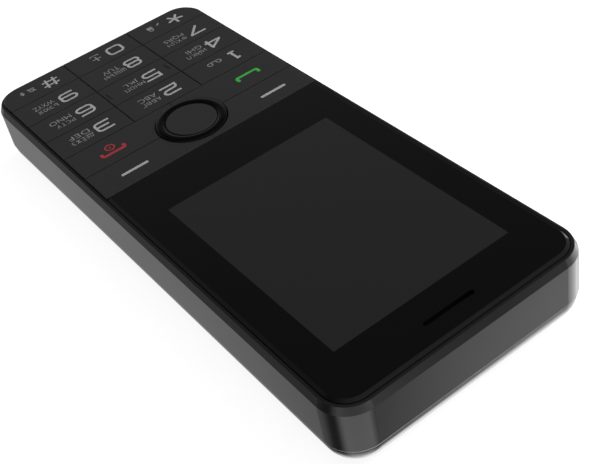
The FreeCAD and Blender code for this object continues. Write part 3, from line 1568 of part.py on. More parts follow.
# ---------------------------------------------------------------- assembly and export
def make_phone():
    parts = [
        make_front_housing(), make_screen_lens(), make_lens_adhesive(), make_earpiece_mesh(),
        make_earpiece_speaker(), make_display_gasket(), make_lcd_panel(), make_backlight_frame(),
        make_lcd_flex(), make_lcd_connector(),
    ]
    for row, names in enumerate(DIGIT_KEYS):
        for column, name in enumerate(names):
            parts.append(make_digit_key(name, row, column))
    parts += [
        make_function_key("left_soft_key", -1, True), make_function_key("right_soft_key", 1, True),
        make_function_key("call_key", -1, False), make_function_key("end_key", 1, False),
        make_nav_ring(), make_select_key(), make_nav_rocker(),
        make_keypad_stiffener(), make_keypad_mat(), make_dome_film(), make_metal_domes(),
        make_keypad_leds(), make_main_board(),
        make_shield_can("baseband_can", *baseband_can_sides),
        make_shield_can("radio_can", *radio_can_sides),
        make_card_holder("sim_holder_left", -d.sim_x, sim_y, d.sim_width, d.sim_length),
        make_card_holder("sim_holder_right", d.sim_x, sim_y, d.sim_width, d.sim_length),
        make_card_holder("memory_card_holder", as_size(0), memory_y, d.memory_width, d.memory_length),
        make_battery_contacts(), make_camera_module(), make_torch_led(), make_loudspeaker(),
        make_vibration_motor(), make_usb_socket(), make_headphone_jack(), *make_microphone(),
        make_rear_chassis(), make_housing_screws(), make_battery_pack(), make_antenna(),
        make_battery_cover(), make_cover_window("camera_window", 0, d.camera_window_radius),
        make_cover_window("torch_window", d.torch_x, d.torch_window_radius), make_speaker_mesh(),
    ]
    return parts


def check_document():
    """Stop if any feature failed, or if a cut removed nothing."""
    for item in document.Objects:
        for fault in ("Invalid", "Error"):
            if fault in item.State:
                raise RuntimeError(f"{item.Name} is {fault}")
        if item.TypeId == "PartDesign::Pocket":
            before = item.BaseFeature.Shape.Volume
            if before - item.Shape.Volume < LEAST_CUT:
                raise RuntimeError(f"{item.Name} cuts nothing")


def export_parts(parts):
    os.makedirs("parts", exist_ok=True)
    for item in parts:
        shape = item.Shape
        if shape.isNull() or not shape.isValid() or not shape.Solids:
            raise RuntimeError(f"{item.Label} has no valid solid")
        shape.exportStep(os.path.join("parts", f"{item.Label}.step"))


phone = make_phone()
document.recompute()
check_document()
export_parts(phone)
total_solids = sum(len(item.Shape.Solids) for item in phone)
print(f"{len(phone)} sub-parts, {total_solids} solids")
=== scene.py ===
"""Looks of a bar-shaped mobile phone: finishes, printed key legends, small trim and a studio.

Metres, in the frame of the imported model: the phone lies on its back, +Z out of the screen and
+Y towards the earpiece end. Prints and trim are drawn in millimetres, and finish_piece turns
them into metres.
"""
import math
from collections import namedtuple

import bmesh
import bpy
from mathutils import Matrix, Vector


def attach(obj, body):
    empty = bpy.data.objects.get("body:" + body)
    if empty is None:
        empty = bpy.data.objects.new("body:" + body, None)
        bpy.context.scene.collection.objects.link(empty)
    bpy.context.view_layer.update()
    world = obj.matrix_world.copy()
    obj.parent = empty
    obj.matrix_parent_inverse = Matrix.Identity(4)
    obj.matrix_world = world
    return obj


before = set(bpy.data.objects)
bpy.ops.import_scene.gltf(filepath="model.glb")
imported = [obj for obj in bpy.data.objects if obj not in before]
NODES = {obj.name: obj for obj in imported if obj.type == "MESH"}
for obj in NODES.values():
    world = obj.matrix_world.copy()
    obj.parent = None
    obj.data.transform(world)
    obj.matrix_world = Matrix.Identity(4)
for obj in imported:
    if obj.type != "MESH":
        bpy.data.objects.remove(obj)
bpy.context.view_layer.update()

MM = 0.001
MICRON = 0.000001
WHITE = (1.0, 1.0, 1.0, 1.0)

# prints: how far they stand above a key's top and reach into it, and how much higher each
# further stroke of a sign stands, so that strokes that cross share no face
KEY_TOP_Z = 14.45
PRINT_RISE = 0.012
PRINT_SINK = 0.03
PRINT_DEPTH = PRINT_RISE + PRINT_SINK
PRINT_STEP = 0.002

# drawing: the largest step of a bend in degrees, the shortest straight run, and how near two
# corners lie that are one: in a stroke, in text of size 1, and in a finished piece, in metres
BEND_STEP = 9
SHORTEST_RUN = 1e-6
STROKE_WELD = 1e-4
TEXT_WELD = 1e-5
PIECE_WELD = 1e-8

# digits: the keys that they stand on, the left edges of the three columns and the tops of the
# four rows, and where in its box the star's middle lies
KEY_GRID = (("1", "2", "3"), ("4", "5", "6"), ("7", "8", "9"), ("star", "0", "hash"))
DIGIT_LEFT = (-21.35, -4.97, 11.35)
DIGIT_TOP = (-30.06, -38.09, -46.08, -54.27)
DIGIT_WIDTH = 3.95
DIGIT_HEIGHT = 3.6
DIGIT_STROKE = 0.55
HASH_STROKE = 0.45
STAR_MIDDLE = (0.56, 0.53)
STAR_REACH = 1.95

# a stroke runs through points, of a unit box or in millimetres, and takes each corner in a bend
Stroke = namedtuple("Stroke", "points closed bend", defaults=(False, 0.85))


def line(start_x, start_y, end_x, end_y):
    """A straight stroke."""
    return Stroke([(start_x, start_y), (end_x, end_y)])


def arch(left, right, feet, crown, bend):
    """A stroke from one foot to the crown, across it and back to the other foot."""
    return Stroke([(left, feet), (left, crown), (right, crown), (right, feet)], bend=bend)


ROUND = Stroke([(0.0, 0.0), (0.0, 1.0), (1.0, 1.0), (1.0, 0.0)], closed=True)
DIGITS = {
    "1": [line(0.28, 0.93, 0.52, 0.99), line(0.52, -0.1, 0.52, 1.1), line(0.27, 0.0, 0.74, 0.0)],
    "2": [Stroke([(-0.02, 1.0), (1.0, 1.0), (1.0, 0.5), (0.0, 0.44), (0.0, -0.1)]),
          line(-0.09, 0.0, 1.07, 0.0)],
    "3": [Stroke([(-0.04, 1.0), (1.0, 1.0), (1.0, 0.0), (-0.04, 0.0)]),
          line(0.13, 0.5, 1.0, 0.5)],
    "4": [line(0.84, -0.1, 0.84, 1.1), line(0.84, 1.0, -0.01, 0.30),
          line(-0.09, 0.25, 1.06, 0.25)],
    "5": [line(1.04, 1.0, -0.09, 1.0), line(0.0, 1.1, 0.0, 0.46),
          Stroke([(-0.09, 0.56), (0.98, 0.56), (0.98, 0.0), (-0.06, 0.0)])],
    "6": [Stroke([(0.98, 1.0), (0.0, 1.0), (0.0, 0.0), (1.0, 0.0), (1.0, 0.54), (0.09, 0.54)])],
    "7": [line(-0.09, 1.0, 1.04, 1.0), line(0.97, 0.98, 0.14, -0.08)],
    "8": [Stroke([(0.05, 0.5), (0.05, 1.0), (0.95, 1.0), (0.95, 0.5)], closed=True),
          Stroke([(0.0, 0.0), (0.0, 0.52), (1.0, 0.52), (1.0, 0.0)], closed=True)],
    "9": [Stroke([(0.02, 0.0), (1.0, 0.0), (1.0, 1.0), (0.0, 1.0), (0.0, 0.46), (0.91, 0.46)])],
    "0": [ROUND],
    "hash": [line(0.23, -0.08, 0.34, 1.08), line(0.73, -0.08, 0.84, 1.08),
             line(-0.02, 0.24, 1.04, 0.24), line(0.02, 0.76, 1.08, 0.76)],
}

# Cyrillic capitals: how wide each is beside the others, and its strokes in a unit box
LEFT_POST, MIDDLE_POST, RIGHT_POST = (line(x, -0.1, x, 1.1) for x in (0.0, 0.5, 1.0))
TOP_BAR, FOOT_BAR = line(-0.1, 1.0, 1.1, 1.0), line(-0.1, 0.0, 1.1, 0.0)
MIDDLE_BAR = line(0.0, 0.52, 0.95, 0.52)
LOW_BOWL = Stroke([(-0.1, 0.54), (1.0, 0.54), (1.0, 0.0), (-0.1, 0.0)])
HIGH_BOWL = Stroke([(-0.1, 1.0), (1.0, 1.0), (1.0, 0.42), (-0.1, 0.42)])
SLOPE_UP, SLOPE_DOWN = line(0.0, -0.06, 1.0, 1.06), line(0.0, 1.06, 1.0, -0.06)
POST_TO_POST = line(0.0, 0.02, 1.0, 0.98)
TAIL = line(1.08, 0.1, 1.08, -0.28)
CYRILLIC = {
    "А": (1.0, [line(0.0, -0.1, 0.5, 1.08), line(0.5, 1.08, 1.0, -0.1),
                line(0.15, 0.3, 0.85, 0.3)]),
    "Б": (0.95, [LEFT_POST, line(-0.1, 1.0, 0.95, 1.0), LOW_BOWL]),
    "В": (0.95, [LEFT_POST, Stroke([(-0.1, 1.0), (0.92, 1.0), (0.92, 0.54), (-0.1, 0.54)]),
                 LOW_BOWL]),
    "Г": (0.85, [LEFT_POST, TOP_BAR]),
    "Д": (1.15, [line(0.1, 0.0, 0.3, 1.05), line(0.2, 1.0, 1.0, 1.0), line(0.9, 1.1, 0.9, 0.0),
                 FOOT_BAR, TAIL, line(-0.08, 0.1, -0.08, -0.28)]),
    "Е": (0.85, [LEFT_POST, TOP_BAR, MIDDLE_BAR, FOOT_BAR]),
    "Ё": (0.85, [LEFT_POST, TOP_BAR, MIDDLE_BAR, FOOT_BAR, line(0.1, 1.36, 0.35, 1.36),
                 line(0.65, 1.36, 0.9, 1.36)]),
    "Ж": (1.3, [MIDDLE_POST, SLOPE_UP, SLOPE_DOWN]),
    "З": (0.9, [Stroke([(0.0, 1.0), (0.92, 1.0), (0.92, 0.54), (0.3, 0.54)]),
                Stroke([(0.3, 0.54), (1.0, 0.54), (1.0, 0.0), (-0.05, 0.0)])]),
    "И": (1.05, [LEFT_POST, RIGHT_POST, POST_TO_POST]),
    "Й": (1.05, [LEFT_POST, RIGHT_POST, POST_TO_POST, line(0.25, 1.36, 0.75, 1.36)]),
    "К": (0.95, [LEFT_POST, line(0.0, 0.36, 0.95, 1.08), line(0.32, 0.62, 1.0, -0.08)]),
    "Л": (1.05, [line(-0.05, -0.06, 0.3, 1.05), line(0.2, 1.0, 1.1, 1.0), RIGHT_POST]),
    "М": (1.25, [LEFT_POST, RIGHT_POST, line(0.0, 1.0, 0.5, 0.2), line(0.5, 0.2, 1.0, 1.0)]),
    "Н": (1.05, [LEFT_POST, RIGHT_POST, MIDDLE_BAR]),
    "О": (1.1, [ROUND]),
    "П": (1.05, [LEFT_POST, RIGHT_POST, TOP_BAR]),
    "Р": (0.95, [LEFT_POST, HIGH_BOWL]),
    "С": (1.0, [Stroke([(1.05, 1.0), (0.0, 1.0), (0.0, 0.0), (1.05, 0.0)])]),
    "Т": (1.0, [TOP_BAR, MIDDLE_POST]),
    "У": (1.0, [line(0.0, 1.08, 0.5, 0.3), line(1.0, 1.08, 0.25, -0.08)]),
    "Ф": (1.3, [MIDDLE_POST,
                Stroke([(0.0, 0.18), (0.0, 0.86), (1.0, 0.86), (1.0, 0.18)], closed=True)]),
    "Х": (1.0, [SLOPE_UP, SLOPE_DOWN]),
    "Ц": (1.1, [LEFT_POST, line(0.92, 0.0, 0.92, 1.1), FOOT_BAR, TAIL]),
    "Ч": (1.0, [Stroke([(0.0, 1.1), (0.0, 0.45), (1.0, 0.45)]), RIGHT_POST]),
    "Ш": (1.3, [LEFT_POST, MIDDLE_POST, RIGHT_POST, FOOT_BAR]),
    "Щ": (1.35, [LEFT_POST, line(0.46, 0.0, 0.46, 1.1), line(0.92, 0.0, 0.92, 1.1),
                 FOOT_BAR, TAIL]),
    "Ъ": (1.15, [line(-0.1, 1.0, 0.35, 1.0), line(0.28, -0.1, 0.28, 1.1),
                 Stroke([(0.2, 0.54), (1.0, 0.54), (1.0, 0.0), (0.2, 0.0)])]),
    "Ы": (1.25, [LEFT_POST, Stroke([(-0.1, 0.54), (0.6, 0.54), (0.6, 0.0), (-0.1, 0.0)]),
                 RIGHT_POST]),
    "Ь": (0.95, [LEFT_POST, LOW_BOWL]),
    "Э": (1.0, [Stroke([(-0.05, 1.0), (1.0, 1.0), (1.0, 0.0), (-0.05, 0.0)]),
                line(0.3, 0.52, 1.0, 0.52)]),
    "Ю": (1.35, [LEFT_POST, line(0.0, 0.52, 0.36, 0.52),
                 Stroke([(0.36, 0.0), (0.36, 1.0), (1.0, 1.0), (1.0, 0.0)], closed=True)]),
    "Я": (0.95, [RIGHT_POST, Stroke([(1.1, 1.0), (0.0, 1.0), (0.0, 0.42), (1.1, 0.42)]),
                 line(0.5, 0.46, 0.0, -0.08)]),
}
CYRILLIC_GAP = 0.34
CYRILLIC_STROKE = 0.14
# how far the outlines of the built-in font draw in, at a size of 1
LATIN_THINNING = -0.006

# letters: the words, left edge and width of a key's two lines, and how far below the digit's
# top the head and the foot of each line lie
LETTERS = {
    "2": (("АБВГ", -0.05, 4.5), ("ABC", 0.0, 4.2)),
    "3": (("ДЕЁЖЗ", 16.2, 4.95), ("DEF", 16.3, 4.6)),
    "4": (("ИЙКЛ", -16.6, 4.8), ("GHI", -16.6, 3.75)),
    "5": (("МНОП", -0.8, 4.75), ("JKL", -0.15, 3.55)),
    "6": (("РСТУ", 16.35, 4.2), ("MNO", 16.4, 4.9)),
    "7": (("ФХЦЧ", -16.6, 4.9), ("PQRS", -16.75, 4.95)),
    "8": (("ШЩЪЫ", -0.6, 5.2), ("TUV", 0.1, 3.95)),
    "9": (("ЬЭЮЯ", 16.3, 4.5), ("WXYZ", 16.4, 4.75)),
}
CYRILLIC_LINE = (0.27, 1.5)
LATIN_LINE = (2.1, 3.62)

# small signs and the signs of the function keys: widths of their strokes, and for a handset
# its left, right, feet and crown
FINE_STROKE = 0.24
TICK_STROKE = 0.36
PLUS_STROKE = 0.28
POWER_STROKE = 0.3
HANDSET_STROKE = 0.68
HANDSET_BEND = 0.36
HANDSET_LIFTED = (-19.35, -14.3, -22.25, -23.67)
HANDSET_LAID_DOWN = (13.8, 18.8, -23.2, -21.97)
POWER_X, POWER_Y, POWER_RADIUS = 16.3, -24.05, 0.95
POWER_STROKE_TOP, POWER_STROKE_FOOT = -23.75, -24.3
DASH_LENGTH, DASH_WIDTH, DASH_ROUND_EDGE, DASH_Y = 6.1, 0.7, 0.343, -14.03
DASH_X = {"left_soft_key": -16.88, "right_soft_key": 16.22}


# ---------------------------------------------------------------- shader nodes
def place(tree, kind, **values):
    """A node with its properties and unlinked inputs set by name."""
    node = tree.nodes.new(kind)
    for label, value in values.items():
        if hasattr(node, label):
            setattr(node, label, value)
        else:
            node.inputs[label.title()].default_value = value
    return node


def calculate(tree, operation, *values):
    """A sum, product or other result of numbers and sockets."""
    node = place(tree, "ShaderNodeMath", operation=operation)
    for socket, value in zip(node.inputs, values):
        if isinstance(value, bpy.types.NodeSocket):
            tree.links.new(value, socket)
        else:
            socket.default_value = value
    return node.outputs[0]


def spread(tree, value, limits, results=(0.0, 1.0), easing="SMOOTHSTEP"):
    """Carry a value from one result to another while it runs between two limits."""
    node = place(tree, "ShaderNodeMapRange", interpolation_type=easing)
    for label, number in zip(("From Min", "From Max", "To Min", "To Max"), (*limits, *results)):
        node.inputs[label].default_value = number
    tree.links.new(value, node.inputs["Value"])
    return node.outputs["Result"]


# ---------------------------------------------------------------- shared shader groups
def make_group(name, numbers, results):
    """A node group that takes a place and named numbers, with its inner ends."""
    group = bpy.data.node_groups.new(name, "ShaderNodeTree")
    add_socket = group.interface.new_socket
    add_socket(name="Vector", in_out="INPUT", socket_type="NodeSocketVector")
    for label, number in numbers.items():
        socket = add_socket(name=label, in_out="INPUT", socket_type="NodeSocketFloat")
        socket.default_value = number
    for label in results:
        add_socket(name=label, in_out="OUTPUT", socket_type="NodeSocketFloat")
    source, sink = group.nodes.new("NodeGroupInput"), group.nodes.new("NodeGroupOutput")
    return group, source.outputs, sink.inputs


def place_texture(group, kind, vector, scale, **values):
    """A texture whose place and scale come from sockets."""
    texture = place(group, kind, **values)
    group.links.new(vector, texture.inputs["Vector"])
    group.links.new(scale, texture.inputs["Scale"])
    return texture


def draw_out(group, vector, share, turn=0.0):
    """Turn a pattern about the third axis and draw it out along the second."""
    mapping = place(group, "ShaderNodeMapping", rotation=(0.0, 0.0, turn), scale=(1.0, share, 1.0))
    group.links.new(vector, mapping.inputs["Vector"])
    return mapping.outputs["Vector"]


def make_mould_grain():
    """Fine spark-eroded skin of a moulded part, as a height and as a slow unevenness."""
    group, given, result = make_group("mould_grain", {"Grain": 5000.0, "Patches": 55.0},
                                      ("Height", "Unevenness"))
    fine_share = 0.6
    fine = place_texture(group, "ShaderNodeTexNoise", given["Vector"], given["Grain"],
                         detail=3.0, roughness=0.6)
    cells = place_texture(group, "ShaderNodeTexVoronoi", given["Vector"], given["Grain"],
                          feature="SMOOTH_F1")
    slow = place_texture(group, "ShaderNodeTexNoise", given["Vector"], given["Patches"],
                         detail=4.0, roughness=0.55)
    height = calculate(group, "MULTIPLY_ADD", fine.outputs["Fac"], fine_share,
                       cells.outputs["Distance"])
    group.links.new(height, result["Height"])
    group.links.new(slow.outputs["Fac"], result["Unevenness"])
    return group


def make_handling_marks():
    """Hairline scratches and faint finger smears, as masks from 0 to 1."""
    group, given, result = make_group("handling_marks", {"Hairs": 260.0, "Smears": 38.0},
                                      ("Scratches", "Smears"))
    hairs = place_texture(group, "ShaderNodeTexNoise",
                          draw_out(group, given["Vector"], 0.035, turn=0.62), given["Hairs"],
                          detail=6.0, roughness=0.85)
    smears = place_texture(group, "ShaderNodeTexNoise", given["Vector"], given["Smears"],
                           detail=5.0, roughness=0.6, distortion=0.8)
    group.links.new(spread(group, hairs.outputs["Fac"], (0.66, 0.74)), result["Scratches"])
    group.links.new(spread(group, smears.outputs["Fac"], (0.42, 0.72)), result["Smears"])
    return group


def make_edge_rub():
    """Mask of the edges that hands and pockets rub, broken up by a noise."""
    group, given, result = make_group("edge_rub", {"Reach": 0.2 * MM, "Break Up": 700.0},
                                      ("Mask",))
    rounded = place(group, "ShaderNodeBevel", samples=4)
    group.links.new(given["Reach"], rounded.inputs["Radius"])
    surface = place(group, "ShaderNodeNewGeometry")
    agreement = place(group, "ShaderNodeVectorMath", operation="DOT_PRODUCT")
    group.links.new(rounded.outputs["Normal"], agreement.inputs[0])
    group.links.new(surface.outputs["Normal"], agreement.inputs[1])
    edge = spread(group, agreement.outputs["Value"], (0.995, 0.88))
    noise = place_texture(group, "ShaderNodeTexNoise", given["Vector"], given["Break Up"],
                          detail=4.0, roughness=0.7)
    group.links.new(calculate(group, "MULTIPLY", edge, noise.outputs["Fac"]), result["Mask"])
    return group


def make_brushing():
    """Fine lines left by rolling or brushing metal, along the second axis."""
    group, given, result = make_group("brushing", {"Lines": 3000.0}, ("Height",))
    lines = place_texture(group, "ShaderNodeTexNoise", draw_out(group, given["Vector"], 0.02),
                          given["Lines"], detail=3.0, roughness=0.7)
    group.links.new(lines.outputs["Fac"], result["Height"])
    return group


MOULD_GRAIN = make_mould_grain()
HANDLING_MARKS = make_handling_marks()
EDGE_RUB = make_edge_rub()
BRUSHING = make_brushing()


# ---------------------------------------------------------------- finishes
class Finish:
    """A material with one Principled shader, and helpers that feed its sockets."""

    def __init__(self, name, **constants):
        self.material = bpy.data.materials.new(name)
        self.material.use_nodes = True
        self.tree = self.material.node_tree
        self.link = self.tree.links.new
        self.shader = self.tree.nodes["Principled BSDF"]
        for label, value in constants.items():
            self.shader.inputs[label.replace("_", " ")].default_value = value
        self.spot = self.tree.nodes.new("ShaderNodeTexCoord").outputs["Object"]

    def texture(self, kind, **values):
        """A texture in the phone's own coordinates."""
        node = place(self.tree, kind, **values)
        self.link(self.spot, node.inputs["Vector"])
        return node

    def use_group(self, group, **values):
        return self.texture("ShaderNodeGroup", node_tree=group, **values)

    def calculate(self, operation, *values):
        return calculate(self.tree, operation, *values)

    def turn_down(self, mask, share):
        """A mask at a share of its strength."""
        return self.calculate("MULTIPLY", mask, share)

    def ramp(self, value, limits, results=(0.0, 1.0)):
        """Carry a value evenly from one result to another."""
        return spread(self.tree, value, limits, results, "LINEAR")

    def blend(self, mask, below, above):
        """Mix two colours, each given as a colour or as a socket, by a mask."""
        node = place(self.tree, "ShaderNodeMix", data_type="RGBA")
        self.link(mask, node.inputs["Factor"])
        # the colour sockets of a Mix node come after those of its numbers and vectors
        for socket, colour in zip(node.inputs[6:8], (below, above)):
            if isinstance(colour, bpy.types.NodeSocket):
                self.link(colour, socket)
            else:
                socket.default_value = (*colour, 1.0)
        return node.outputs[2]

    def colour(self, socket):
        self.link(socket, self.shader.inputs["Base Color"])

    def patchy_colour(self, skin, limits, first, second):
        """Let the colour drift between two tones with the skin's slow unevenness."""
        self.colour(self.blend(self.ramp(skin.outputs["Unevenness"], limits), first, second))

    def roughness(self, socket):
        self.link(socket, self.shader.inputs["Roughness"])

    def patchy_gloss(self, skin, gloss):
        """A roughness that drifts between two values with the skin's slow unevenness."""
        return self.ramp(skin.outputs["Unevenness"], (0.3, 0.7), gloss)

    def bump(self, height, microns, strength=1.0):
        node = place(self.tree, "ShaderNodeBump", distance=microns * MICRON, strength=strength)
        self.link(height, node.inputs["Height"])
        self.link(node.outputs["Normal"], self.shader.inputs["Normal"])


def moulded(name, base, rubbed, gloss, grain=5000.0, microns=4, reach=0.2, rub=0.5, **constants):
    """Moulded plastic: grained skin, uneven gloss, hairlines and rubbed edges."""
    patch_tone, scratch_share, smear_shine = 1.25, 0.12, 0.05
    finish = Finish(name, **constants)
    skin = finish.use_group(MOULD_GRAIN, grain=grain)
    marks = finish.use_group(HANDLING_MARKS)
    edges = finish.use_group(EDGE_RUB, reach=reach * MM)
    tone = finish.blend(skin.outputs["Unevenness"], base, [part * patch_tone for part in base])
    scratches = finish.turn_down(marks.outputs["Scratches"], scratch_share)
    tone = finish.blend(scratches, tone, rubbed)
    finish.colour(finish.blend(finish.turn_down(edges.outputs["Mask"], rub), tone, rubbed))
    smears = finish.turn_down(marks.outputs["Smears"], smear_shine)
    finish.roughness(finish.calculate("SUBTRACT", finish.patchy_gloss(skin, gloss), smears))
    finish.bump(skin.outputs["Height"], microns)
    return finish.material


def metal(name, base, dull, gloss):
    """Rolled or plated sheet metal with fine lines and duller patches."""
    finish = Finish(name, Metallic=1.0)
    brushed = finish.use_group(BRUSHING)
    skin = finish.use_group(MOULD_GRAIN, patches=300.0)
    finish.patchy_colour(skin, (0.4, 0.7), base, dull)
    finish.roughness(finish.patchy_gloss(skin, gloss))
    finish.bump(brushed.outputs["Height"], 3)
    return finish.material


def film(name, base, second, gloss, patches=90.0, **constants):
    """Film, tape, wrap or rubber with a slow change of tone and a soft skin."""
    finish = Finish(name, **constants)
    skin = finish.use_group(MOULD_GRAIN, grain=2600.0, patches=patches)
    finish.patchy_colour(skin, (0.35, 0.65), base, second)
    finish.roughness(finish.ramp(skin.outputs["Height"], (0.2, 0.9), gloss))
    finish.bump(skin.outputs["Height"], 4)
    return finish.material


def ink(name, base, thin):
    """Pad-printed ink, a little thinner in patches, where the dark key dulls it."""
    finish = Finish(name)
    skin = finish.use_group(MOULD_GRAIN, grain=9000.0, patches=900.0)
    finish.patchy_colour(skin, (0.45, 0.75), base, thin)
    finish.roughness(finish.patchy_gloss(skin, (0.42, 0.6)))
    finish.bump(skin.outputs["Height"], 3)
    return finish.material


def make_screen_window():
    """Hard-coated black window: the display behind it shows as a paler, faintly ruled field."""
    middle_y, half_width, half_height, soft_edge = 26.0 * MM, 18.29 * MM, 24.385 * MM, 0.03 * MM
    border, dark_row = (0.0022, 0.0022, 0.0023), (0.0155, 0.0155, 0.0158)
    pale_row = (0.0185, 0.0185, 0.0189)
    polish, smear_haze, scratch_haze = 0.035, 0.03, 0.10
    finish = Finish("screen_window")
    split = place(finish.tree, "ShaderNodeSeparateXYZ")
    finish.link(finish.spot, split.inputs[0])
    off_x = finish.calculate("ABSOLUTE", split.outputs["X"])
    off_y = finish.calculate("ABSOLUTE",
                             finish.calculate("SUBTRACT", split.outputs["Y"], middle_y))
    inside = finish.calculate("MINIMUM", finish.calculate("SUBTRACT", half_width, off_x),
                              finish.calculate("SUBTRACT", half_height, off_y))
    rows = finish.texture("ShaderNodeTexWave", bands_direction="Y", scale=1900.0)
    panel = finish.blend(rows.outputs["Fac"], dark_row, pale_row)
    finish.colour(finish.blend(finish.ramp(inside, (-soft_edge, soft_edge)), border, panel))
    marks = finish.use_group(HANDLING_MARKS, hairs=200.0, smears=30.0)
    haze = finish.calculate("ADD", finish.turn_down(marks.outputs["Smears"], smear_haze),
                            finish.turn_down(marks.outputs["Scratches"], scratch_haze))
    finish.roughness(finish.calculate("ADD", haze, polish))
    skin = finish.use_group(MOULD_GRAIN, patches=40.0)
    finish.bump(skin.outputs["Unevenness"], 2, 0.25)
    return finish.material


def make_dust_mesh():
    """Fine woven dust screen."""
    finish = Finish("dust_mesh", Roughness=0.45, Metallic=0.6)
    holes = finish.texture("ShaderNodeTexVoronoi", feature="F1", distance="CHEBYCHEV",
                           scale=7000.0, randomness=0.0)
    wires = finish.ramp(holes.outputs["Distance"], (0.28, 0.42))
    finish.colour(finish.blend(wires, (0.002, 0.002, 0.002), (0.10, 0.10, 0.11)))
    finish.bump(wires, 20)
    return finish.material


def make_circuit_board():
    """Solder mask with the tracks that show through it."""
    finish = Finish("circuit_board")
    cells = finish.texture("ShaderNodeTexVoronoi", feature="DISTANCE_TO_EDGE", scale=900.0)
    tracks = finish.ramp(cells.outputs["Distance"], (0.03, 0.06), (1.0, 0.0))
    finish.colour(finish.blend(tracks, (0.006, 0.045, 0.022), (0.015, 0.10, 0.05)))
    skin = finish.use_group(MOULD_GRAIN, grain=3000.0, patches=120.0)
    finish.roughness(finish.patchy_gloss(skin, (0.22, 0.42)))
    finish.bump(tracks, 10)
    return finish.material


def make_clear_window():
    """Small clear cover over the camera and the torch."""
    finish = Finish("clear_window", Transmission_Weight=1.0, IOR=1.49)
    marks = finish.use_group(HANDLING_MARKS, hairs=900.0, smears=200.0)
    smears = marks.outputs["Smears"]
    finish.colour(finish.blend(smears, (0.86, 0.88, 0.90), (0.80, 0.82, 0.84)))
    finish.roughness(finish.ramp(smears, (0.0, 1.0), (0.01, 0.06)))
    skin = finish.use_group(MOULD_GRAIN, patches=300.0)
    finish.bump(skin.outputs["Unevenness"], 2, 0.3)
    return finish.material


def make_lamp_face():
    """Pale resin over a yellow phosphor."""
    finish = Finish("lamp", Subsurface_Weight=0.2)
    skin = finish.use_group(MOULD_GRAIN, patches=1200.0)
    finish.colour(finish.blend(skin.outputs["Unevenness"], (0.75, 0.55, 0.10), (0.85, 0.80, 0.55)))
    finish.roughness(finish.patchy_gloss(skin, (0.12, 0.3)))
    finish.bump(skin.outputs["Height"], 3)
    return finish.material


def plain_name(material):
    """A material's name without the number of a namesake."""
    return material.name.split(".")[0]


FINISHES = {plain_name(material): material for material in (
    moulded("housing_plastic", (0.0100, 0.0100, 0.0102), (0.040, 0.040, 0.041), (0.12, 0.18),
            grain=5200.0, microns=1, rub=0.15),
    moulded("cover_plastic", (0.0100, 0.0100, 0.0102), (0.040, 0.040, 0.041), (0.13, 0.19),
            grain=5200.0, microns=1.2, rub=0.15),
    moulded("key_plastic", (0.0183, 0.0183, 0.0186), (0.045, 0.045, 0.046), (0.34, 0.42),
            grain=6000.0, microns=2, reach=0.06, rub=0.1),
    moulded("chassis_plastic", (0.020, 0.020, 0.021), (0.07, 0.07, 0.07), (0.48, 0.62),
            grain=3000.0, microns=10),
    moulded("ring_gloss", (0.0012, 0.0012, 0.0013), (0.012, 0.012, 0.012), (0.05, 0.09),
            grain=7000.0, microns=0.4, rub=0.1, Specular_IOR_Level=0.27),
    film("black_tape", (0.006, 0.006, 0.006), (0.014, 0.014, 0.014), (0.7, 0.9)),
    film("display", (0.016, 0.017, 0.019), (0.022, 0.023, 0.026), (0.12, 0.22)),
    film("silicone", (0.55, 0.56, 0.56), (0.62, 0.63, 0.62), (0.42, 0.6), Subsurface_Weight=0.15),
    film("film", (0.60, 0.58, 0.50), (0.68, 0.66, 0.58), (0.25, 0.4)),
    film("flex_circuit", (0.42, 0.20, 0.05), (0.52, 0.27, 0.08), (0.3, 0.45), patches=300.0),
    film("battery_wrap", (0.045, 0.047, 0.055), (0.058, 0.060, 0.068), (0.35, 0.5)),
    metal("spring_steel", (0.56, 0.55, 0.53), (0.42, 0.41, 0.39), (0.22, 0.38)),
    metal("tinned_steel", (0.62, 0.62, 0.60), (0.48, 0.48, 0.47), (0.28, 0.45)),
    metal("screw_steel", (0.18, 0.18, 0.19), (0.11, 0.11, 0.12), (0.3, 0.5)),
    metal("gold_contact", (0.83, 0.58, 0.24), (0.66, 0.44, 0.18), (0.2, 0.34)),
    make_screen_window(),
    make_circuit_board(),
    make_lamp_face(),
    make_clear_window(),
)}
DUST_MESH = make_dust_mesh()
INK_WHITE = ink("ink_white", (0.36, 0.36, 0.36), (0.29, 0.29, 0.29))
INK_LETTER = ink("ink_letter", (0.23, 0.23, 0.23), (0.17, 0.17, 0.17))
INK_GREEN = ink("ink_green", (0.045, 0.38, 0.050), (0.034, 0.30, 0.038))
INK_RED = ink("ink_red", (0.35, 0.034, 0.040), (0.27, 0.026, 0.031))


def dress_cad_nodes():
    """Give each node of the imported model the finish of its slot, and both meshes theirs."""
    for node in NODES.values():
        for slot in node.material_slots:
            slot.material = FINISHES.get(plain_name(slot.material), slot.material)
    for name in ("earpiece_mesh", "speaker_mesh"):
        for slot in NODES[name].material_slots:
            slot.material = DUST_MESH


# ---------------------------------------------------------------- drawing in strokes
def vertices(parts):
    """The vertices among the parts of a bmesh."""
    return [part for part in parts if isinstance(part, bmesh.types.BMVert)]


def start_stroke(shape, spot, heading, width):
    """The outline of a print's upright cross-section, square to the way the print is drawn."""
    bmesh.ops.create_grid(shape, x_segments=1, y_segments=1, size=0.5)
    axes = Matrix(((-heading.y * width, 0.0, heading.x),
                   (heading.x * width, 0.0, heading.y),
                   (0.0, PRINT_DEPTH, 0.0)))
    bmesh.ops.transform(shape, matrix=Matrix.Translation(spot.to_3d()) @ axes.to_4x4(),
                        verts=shape.verts)
    bmesh.ops.delete(shape, geom=shape.faces[:], context="FACES_ONLY")
    return shape.edges[:]


